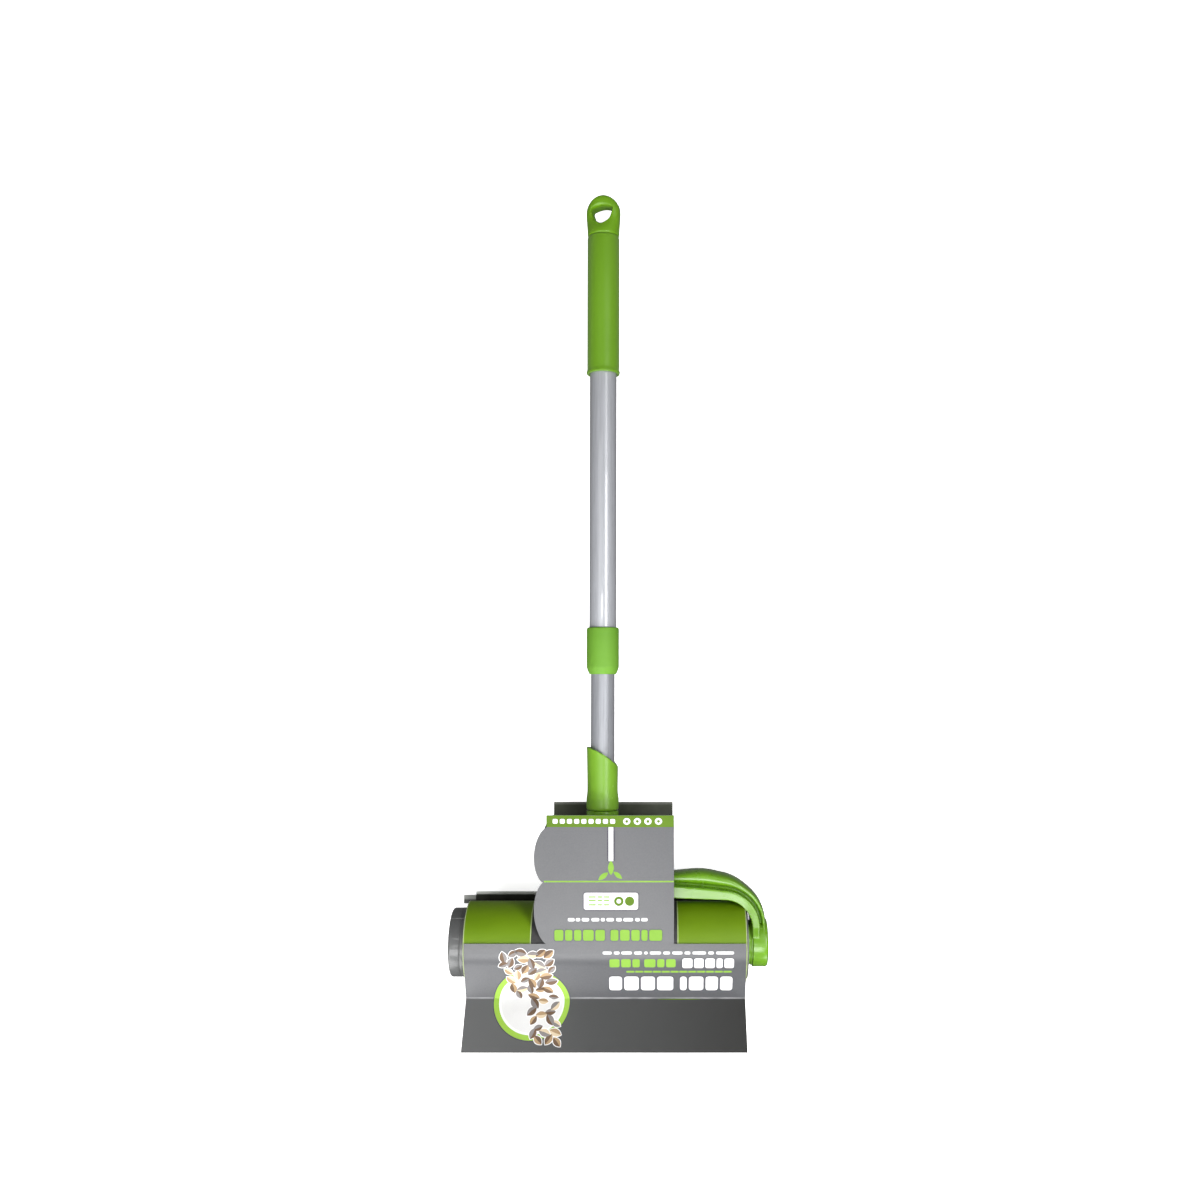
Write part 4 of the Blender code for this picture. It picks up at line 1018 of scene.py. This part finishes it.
def card_line(v):
    """The folded card's height line, (y, z), at a distance up the flat sheet from the window."""
    if v >= BEND_START:
        return Vector((0.008 + v, 0.0756 + 0.0015 * max(v, 0) / TONGUE_TOP))
    if v >= BEND_START - BEND_R * BEND_TURN:
        turn = (BEND_START - v) / BEND_R
        return Vector((-BEND_R * sin(turn), AXIS_HEIGHT + BEND_R * cos(turn)))
    down_panel = Vector((cos(BEND_TURN), sin(BEND_TURN)))
    up_header = Vector((-cos(radians(35)), sin(radians(35))))
    if v >= FOLD + CREASE_R:
        return FOLD_POINT + down_panel * (v - FOLD)
    if v <= FOLD - CREASE_R:
        return FOLD_POINT + up_header * (FOLD - v)
    share = (FOLD + CREASE_R - v) / (2 * CREASE_R)
    near, far = FOLD_POINT + down_panel * CREASE_R, FOLD_POINT + up_header * CREASE_R
    return near.lerp(FOLD_POINT, share).lerp(FOLD_POINT.lerp(far, share), share)


def on_card(u, v, lift):
    """A point of the folded card: across it, up the flat sheet, and off its middle surface."""
    point = card_line(v)
    run = (card_line(v + 0.0002) - card_line(v - 0.0002)).normalized()
    if v < FOLD:
        up_header = (FOLD - v) / (FOLD - HEADER_END)
        lift -= 0.0006 * up_header**2 * sin(u * 25) ** 2
    if v > 0:
        lift += 0.0006 * (v / TONGUE_TOP) ** 2 * sin((u + 0.05) * 24) ** 2
    return Vector((u, point.x - run.y * lift, point.y + run.x * lift))


def fold_sheet(piece, worn_edge=0.0):
    """Scores a flat drawing at each bend, then folds it: its x, y and z are u, v and lift."""
    bends = [BEND_START - BEND_R * BEND_TURN * step / 12 for step in range(13)]
    bends += [FOLD + CREASE_R * step / 3 for step in range(-3, 4)]
    bends += [HEADER_END + 0.008 * step for step in range(1, 6)]
    bends += [TONGUE_TOP * step / 12 for step in range(1, 12)] + [0.0, -0.032, -0.043]
    in_edit(piece)
    for v in bends:
        bpy.ops.mesh.select_all(action="SELECT")
        bpy.ops.mesh.bisect(plane_co=(0, v, 0), plane_no=(0, 1, 0))
    for step in range(-12, 13):
        bpy.ops.mesh.select_all(action="SELECT")
        bpy.ops.mesh.bisect(plane_co=(0.01 * step + 0.0003, 0, 0), plane_no=(1, 0, 0))
    if worn_edge:
        bpy.ops.mesh.select_all(action="SELECT")
        bpy.ops.mesh.inset(thickness=worn_edge, use_even_offset=True)
        bpy.ops.mesh.select_all(action="INVERT")
        piece.active_material_index = 2
        bpy.ops.object.material_slot_assign()
    form = bmesh.from_edit_mesh(piece.data)
    for face in form.faces:
        if face.normal.z < 0:
            face.normal_flip()
    bmesh.update_edit_mesh(piece.data)
    bpy.ops.object.mode_set(mode="OBJECT")
    for vert in piece.data.vertices:
        vert.co = on_card(*vert.co)


def lobe_edge(v):
    """The tongue's left edge: straight at the band, then two round lobes with a notch between."""
    if v >= BAND_FOOT:
        return TONGUE_LEFT
    if v >= CREASE:
        low, high, start, end = CREASE, BAND_FOOT, TONGUE_NOTCH, TONGUE_LEFT
    else:
        low, high, start, end = 0, CREASE, TONGUE_LEFT, TONGUE_NOTCH
    share = min(1, max(0, (v - low) / (high - low)))
    depth = (start + end) / 2 - TONGUE_LOBE
    return start + (end - start) * share - depth * max(0, 1 - (2 * share - 1) ** 2) ** 0.65


def printed_board(name, deep, face):
    """Coated board printed grey, and darker on the header towards the hub: a fine print grain
    and a pale worn fold."""
    material, tree, shader = new_finish(name, Coat_Weight=0.15, Coat_Roughness=0.28)
    place = own_place(tree)
    speckle = mottle(tree, 800, 2)
    cloud = worked(tree, "MULTIPLY", mottle(tree, 12, 3), 0.6)
    grain = worked(tree, "MULTIPLY_ADD", speckle, 0.7, cloud)
    tone = graded(tree, grain, (0.45, deep), (0.85, face))
    header_tone = graded(
        tree,
        spread(tree, place["X"], -CARD_SIDE, CARD_SIDE, 0, 1),
        (0.0, (105, 106, 106)),
        (0.45, (82, 83, 83)),
        (1.0, (50, 50, 49)),
    )
    on_header = spread(tree, place["Y"], -0.0448, -0.0446, 1, 0)
    tone = blended(tree, on_header, tone, header_tone)
    from_fold = worked(tree, "ABSOLUTE", worked(tree, "ADD", place["Y"], 0.0443))
    worn = worked(
        tree,
        "MULTIPLY",
        spread(tree, from_fold, 0.0003, 0.0011, 0.55, 0.0),
        spread(tree, mottle(tree, 60, 4), 0.35, 0.65, 0.35, 1.0),
    )
    wave = mottle(tree, 9, 2, stretch=(1, 0.5, 0.5))
    relief = worked(tree, "MULTIPLY_ADD", speckle, 0.002, wave)
    wire(
        tree,
        shader,
        blended(tree, worn, tone, (176, 176, 178)),
        (mottle(tree, 200, 3), 0.30, 0.36),
        (relief, 0.002, 0.25),
    )
    return material


grey_print = printed_board("grey_print", (80, 81, 84), (87, 88, 91))

bare_board, tree, shader = new_finish("bare_board")
pulp = mottle(tree, 700, 5, stretch=(0.5, 1, 1))
wire(
    tree,
    shader,
    graded(tree, pulp, (0.3, (150, 150, 146)), (0.7, (172, 171, 166))),
    (pulp, 0.75, 0.9),
    (pulp, 0.00006, 0.4),
)
cut_board, tree, shader = new_finish("cut_board")
plies = mottle(tree, 1500, 3)
wire(
    tree,
    shader,
    graded(tree, plies, (0.3, (170, 171, 172)), (0.7, (206, 206, 204))),
    (plies, 0.7, 0.9),
)

lobes = []
for low, high in ((CREASE, BAND_FOOT), (0.0, CREASE)):
    for step in range(24):
        v = high - (high - low) * (1 - cos(pi * step / 24)) / 2
        lobes.append((lobe_edge(v), v))
card_outline = [
    (TONGUE_RIGHT, TONGUE_TOP),
    (TONGUE_LEFT, TONGUE_TOP),
    *lobes,
    (TONGUE_LEFT, 0.0), (-CARD_SIDE, 0.0), (-CARD_SIDE, HEADER_END), (CARD_SIDE, HEADER_END),
    (CARD_SIDE, 0.0), (TONGUE_RIGHT, 0.0),
]


def draw_flat(name, points):
    """A flat shape cut to an outline of (u, v)."""
    bpy.ops.object.select_all(action="DESELECT")
    bpy.ops.mesh.primitive_circle_add(vertices=len(points), radius=0.1, fill_type="NGON")
    piece = bpy.context.object
    piece.name = piece.data.name = name
    for vert, (u, v) in zip(piece.data.vertices, points):
        vert.co = (u, v, 0)
    in_edit(piece)
    bpy.ops.mesh.quads_convert_to_tris()
    bpy.ops.object.mode_set(mode="OBJECT")
    return piece


def thicken(piece, thickness, offset, back=0, rim=0):
    """Gives a sheet its thickness, with its own materials on its back and its cut edge."""
    sheet = {"thickness": thickness, "offset": offset, "use_even_offset": True}
    modify(piece, "SOLIDIFY", material_offset=back, material_offset_rim=rim, **sheet)
    bpy.ops.object.shade_smooth_by_angle(angle=radians(24))


front_card = draw_flat("folded_front_card", card_outline)
dress(front_card, grey_print, bare_board, cut_board)
fold_sheet(front_card, worn_edge=0.00035)
thicken(front_card, BOARD, 0.0, back=1, rim=2)
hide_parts("front_card")
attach(front_card, "card")

# --- Display card, back ---
# The same board behind: the header's second ply, the wall behind the roll, and the leaf that the
# whole thing lies on, with an ear at one side and a tongue under the stem.
# The leaf's colour is painted light and shade: near black for the shade under the roll's far side,
# a near-white painted lit strip just beyond it, then greying to a dark painted shade under the
# stem's tongue with a lighter far edge. A faint random cloud is mixed over it.
leaf_painted_light_and_shade, tree, shader = new_finish("leaf_painted_light_and_shade", Specular_IOR_Level=0.25)
place = own_place(tree)
leaf_painted_shade_and_light_tone = graded(
    tree,
    spread(tree, place["Y"], 0.030, 0.130, 0, 1),
    (0.048, (24, 26, 18)),
    (0.057, (90, 92, 86)),
    (0.063, (226, 228, 224)),
    (0.084, (246, 248, 244)),
    (0.20, (110, 114, 100)),
    (0.80, (38, 42, 26)),
    (0.91, (58, 62, 48)),
    (0.935, (128, 130, 122)),
)
on_ear = spread(tree, place["X"], -0.1268, -0.1262, 1.0, 0.0)
# Painted shade on the ear, darker towards the roll.
ear_painted_shade_tone = graded(
    tree,
    spread(tree, place["Y"], 0.030, 0.033, 0, 1),
    (0.0, (70, 72, 68)),
    (0.6, (156, 158, 154)),
)
leaf_cloud = graded(tree, mottle(tree, 60, 4), (0.3, (40, 42, 34)), (0.7, (110, 112, 104)))
wire(
    tree,
    shader,
    blended(tree, 0.12, blended(tree, on_ear, leaf_painted_shade_and_light_tone, ear_painted_shade_tone), leaf_cloud),
    (mottle(tree, 200, 3), 0.45, 0.6),
    (mottle(tree, 700, 3), 0.00005, 0.4),
)
back_card = from_solid("back_card", "folded_back_card", 0.00008)
dress(back_card, leaf_painted_light_and_shade)
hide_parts("back_card")
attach(back_card, "card")

# --- Card print ---
# What is printed on the card, as thin layers of ink: a green band and crease line, rows of plain
# blocks and rings, a white label, a leaf sprig, and a green ring under a scatter of fallen leaves.


def ink(name, deep, face):
    """Offset ink on coated board: nearly even, with a faint dot grain."""
    material, tree, shader = new_finish(name, Specular_IOR_Level=0.3)
    dots = mottle(tree, 1600, 2)
    cover = worked(tree, "MULTIPLY_ADD", dots, 0.4, mottle(tree, 40, 3))
    wire(
        tree,
        shader,
        graded(tree, cover, (0.5, deep), (0.9, face)),
        (dots, 0.50, 0.60),
        (dots, 0.00003, 0.3),
    )
    return material


INKS = (
    ink("white_ink", (240, 240, 240), (250, 250, 250)),
    ink("pale_green_ink", (128, 174, 58), (136, 182, 66)),
    ink("band_green_ink", (86, 120, 8), (94, 128, 12)),
    ink("disc_grey_ink", (226, 226, 225), (236, 236, 235)),
    ink("dark_ink", (78, 76, 84), (88, 86, 94)),
    ink("cream_ink", (214, 194, 160), (232, 216, 188)),
    ink("tan_ink", (166, 138, 104), (190, 162, 126)),
    ink("brown_ink", (98, 78, 62), (124, 100, 80)),
    ink("stone_ink", (126, 120, 118), (150, 144, 142)),
    ink("ring_green_ink", (152, 192, 70), (160, 202, 80)),
)
WHITE, PALE, BAND, DISC, DARK, CREAM, TAN, BROWN, STONE, RING = range(10)

bpy.ops.object.select_all(action="DESELECT")
bpy.ops.mesh.primitive_plane_add(size=0.001)
card_print = bpy.context.object
card_print.name = card_print.data.name = "card_print"
dress(card_print, *INKS)
in_edit(card_print)
bpy.ops.mesh.delete(type="VERT")
BARE_FACE = BOARD / 2 + 0.00003
LAYER = 0.00005


def ink_selected(tone):
    """Gives the shape that was just added its ink."""
    card_print.active_material_index = tone
    bpy.ops.object.material_slot_assign()


def ink_block(tone, left, low, right, high, rounding=0.0, layer=0):
    """A printed block with rounded corners, in millimetres on the flat sheet."""
    middle = ((left + right) / 2000, (low + high) / 2000, BARE_FACE + layer * LAYER)
    bpy.ops.mesh.primitive_plane_add(size=1, location=middle)
    size = ((right - left) / 1000, (high - low) / 1000, 1)
    bpy.ops.transform.resize(value=size, center_override=middle)
    if rounding:
        bpy.ops.mesh.bevel(offset=rounding / 1000, segments=5, affect="VERTICES")
    ink_selected(tone)


def ink_disc(tone, u, v, wide, high, layer=0, hole=0.0, points=64):
    """A printed disc, ellipse or ring, in millimetres on the flat sheet."""
    middle = (u / 1000, v / 1000, BARE_FACE + layer * LAYER)
    fill = "NOTHING" if hole else "NGON"
    circle = {"radius": wide / 1000, "fill_type": fill, "location": middle}
    bpy.ops.mesh.primitive_circle_add(vertices=points, **circle)
    if hole:
        bpy.ops.mesh.extrude_region_move()
        bpy.ops.transform.resize(value=(hole / wide,) * 3, center_override=middle)
        bpy.ops.mesh.select_linked()
    bpy.ops.transform.resize(value=(1, high / wide, 1), center_override=middle)
    ink_selected(tone)


def ink_leaf(tone, shade, u, v, length, wide, turn, layer=0, edge=None):
    """A printed leaf: a pointed oval with its lower half in another tone and a cut-out edge."""
    bow = [sin(pi * step / 10) ** 0.8 for step in range(11)]
    spine = [length * (step / 10 - 0.5) for step in range(11)]
    lower = [(x, -wide / 2 * y) for x, y in zip(spine, bow)]
    upper = [(x, wide / 2 * y) for x, y in zip(spine, bow)]
    whole, half = lower + upper[-2:0:-1], lower + [(spine[5], wide * 0.06)]
    shapes = [(tone, whole, 1.0, 1), (shade, half, 1.0, 2)]
    if edge is not None:
        shapes.insert(0, (edge, whole, 1.14, 0))
    cosine, sine = cos(radians(turn)), sin(radians(turn))
    for ink_tone, points, grown, step in shapes:
        bpy.ops.mesh.primitive_circle_add(vertices=len(points), radius=0.01, fill_type="NGON")
        form = bmesh.from_edit_mesh(card_print.data)
        added = [vert for vert in form.verts if vert.select]
        for vert, (x, y) in zip(added, points):
            x, y = x * grown, y * (grown + 0.1 * (grown > 1))
            place = (u + x * cosine - y * sine, v + x * sine + y * cosine)
            vert.co = (place[0] / 1000, place[1] / 1000, BARE_FACE + (layer + step) * LAYER)
        bmesh.update_edit_mesh(card_print.data)
        ink_selected(ink_tone)


ink_block(BAND, -51.9, 104.4, 61.4, 114.7)
for step in range(9):
    ink_block(WHITE, -46.5 + 6.4 * step, 107.4, -42.0 + 6.4 * step, 111.6, 1.2, 1)
for step in range(4):
    ink_disc(WHITE, 19.5 + 9.4 * step, 109.5, 3.2, 3.0, 1, points=24)
    ink_disc(BAND, 19.5 + 9.4 * step, 109.5, 1.3, 1.3, 2, points=16)
ink_block(DARK, 1.9, 74.0, 9.1, 104.3)
ink_block(WHITE, 3.3, 74.0, 7.5, 104.4, 0.0, 1)
ink_leaf(PALE, PALE, 5.4, 68.0, 13, 5.2, 90, 2)
ink_leaf(PALE, PALE, -1.5, 60.5, 11, 4.4, 38, 1)
ink_leaf(PALE, PALE, 11.5, 61.5, 10, 4.0, -40, 1)
ink_block(PALE, -54.3, 55.1, 61.4, 56.4)
ink_block(DARK, -19.6, 29.8, 30.4, 46.6, 2.6)
ink_block(WHITE, -18.8, 30.6, 29.6, 45.8, 2.2, 1)
for left, right in ((-14.5, -8.0), (-6.6, -2.4), (-1.0, 4.0)):
    for low in (34.4, 38.2, 41.4):
        ink_block(PALE, left, low, right, low + 1.2, 0.5, 2)
ink_disc(BAND, 12.4, 38.2, 4.2, 4.2, 2, points=32)
ink_disc(WHITE, 12.4, 38.2, 2.0, 2.0, 3, points=24)
ink_disc(BAND, 22.0, 38.2, 4.2, 4.2, 2, points=32)
SMALL_ROW = (
    (-33, -27), (-26, -22), (-20.6, -14), (-12, -5), (-3.6, 0),
    (1.4, 8), (10, 15), (16.4, 25), (27, 31), (32.4, 38),
)
for left, right in SMALL_ROW:
    ink_block(WHITE, left, 20.2, right, 23.2, 1.2)
TITLE_ROW = (
    (-45, -37), (-35.5, -29), (-27.5, -21), (-19.5, -10), (-8.5, 0),
    (5, 12), (13.5, 22), (23.5, 31), (32.5, 38), (39.5, 51),
)
for left, right in TITLE_ROW:
    ink_block(DARK, left - 0.5, 2.4, right + 0.5, 13.2, 2.2)
    ink_block(PALE, left, 2.9, right, 12.7, 1.8, 1)
PANEL_ROW = (
    (-2, 6), (8, 13), (14.6, 24), (26, 33), (35, 38), (40, 50),
    (52, 58), (60, 69), (71, 76), (78, 90), (92, 97), (99, 115),
)
for left, right in PANEL_ROW:
    ink_block(WHITE, left, -9.3, right, -6.7, 1.1)
for left, right in ((4, 13), (14.5, 23), (24.5, 31), (35, 45), (46.5, 53), (54.5, 63)):
    ink_block(PALE, left, -21.6, right, -13.6, 1.6)
for left, right in ((69, 78), (79.5, 88), (89.5, 98), (99.5, 105), (106.5, 115)):
    ink_block(DARK, left - 0.5, -23.0, right + 0.5, -12.4, 2.2)
    ink_block(WHITE, left, -22.4, right, -12.9, 1.8, 1)
for step in range(12):
    ink_block(PALE, 19 + 7.9 * step, -27.2, 26.2 + 7.9 * step, -25.4, 0.4)
LARGE_ROW = (
    (3.5, 15), (17, 30), (32, 44.5), (46.5, 61), (67, 73), (75, 88), (90, 101), (103, 114)
)
for left, right in LARGE_ROW:
    ink_block(DARK, left - 0.7, -46.8, right + 0.7, -30.6, 3.2)
    ink_block(WHITE, left, -46.0, right, -31.4, 2.6, 1)
ink_disc(BAND, 66.0, -55.9, 20.0, 0.35, points=32)

ROUND_U, ROUND_V = -66.3, -58.4
ink_disc(DARK, ROUND_U, ROUND_V, 34.9, 34.9, hole=33.0, points=128)
ink_disc(RING, ROUND_U, ROUND_V, 34.1, 34.1, 1, hole=29.0, points=128)
ink_disc(WHITE, ROUND_U, ROUND_V, 29.4, 29.4, 2, points=128)
ink_disc(DISC, ROUND_U + 0.6, ROUND_V + 0.4, 27.9, 27.9, 3, points=128)
TONES = ((CREAM, TAN), (TAN, BROWN), (BROWN, STONE), (STONE, BROWN), (CREAM, STONE))
scatter = random.Random(11)
fallen = []
LEAF_GAP = 6.6
for _ in range(4000):
    share = scatter.random()
    drift = scatter.choice((-1, 1))
    u = (-60 + 6 * share if drift > 0 else -82 + 12 * share) + scatter.uniform(-12, 12)
    v = (-8 - 86 * share if drift > 0 else -9 - 40 * share) + scatter.uniform(-2, 2)
    if all(hypot(u - x, v - y) > LEAF_GAP for x, y in fallen):
        fallen.append((u, v))
        tone, shade = scatter.choice(TONES)
        size = scatter.uniform(0.85, 1.15)
        ink_leaf(tone, shade, u, v, 10.5 * size, 6.2 * size, scatter.uniform(0, 360), 4, WHITE)
bpy.ops.object.mode_set(mode="OBJECT")
fold_sheet(card_print)
thicken(card_print, 0.00002, 1.0)
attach(card_print, "card")
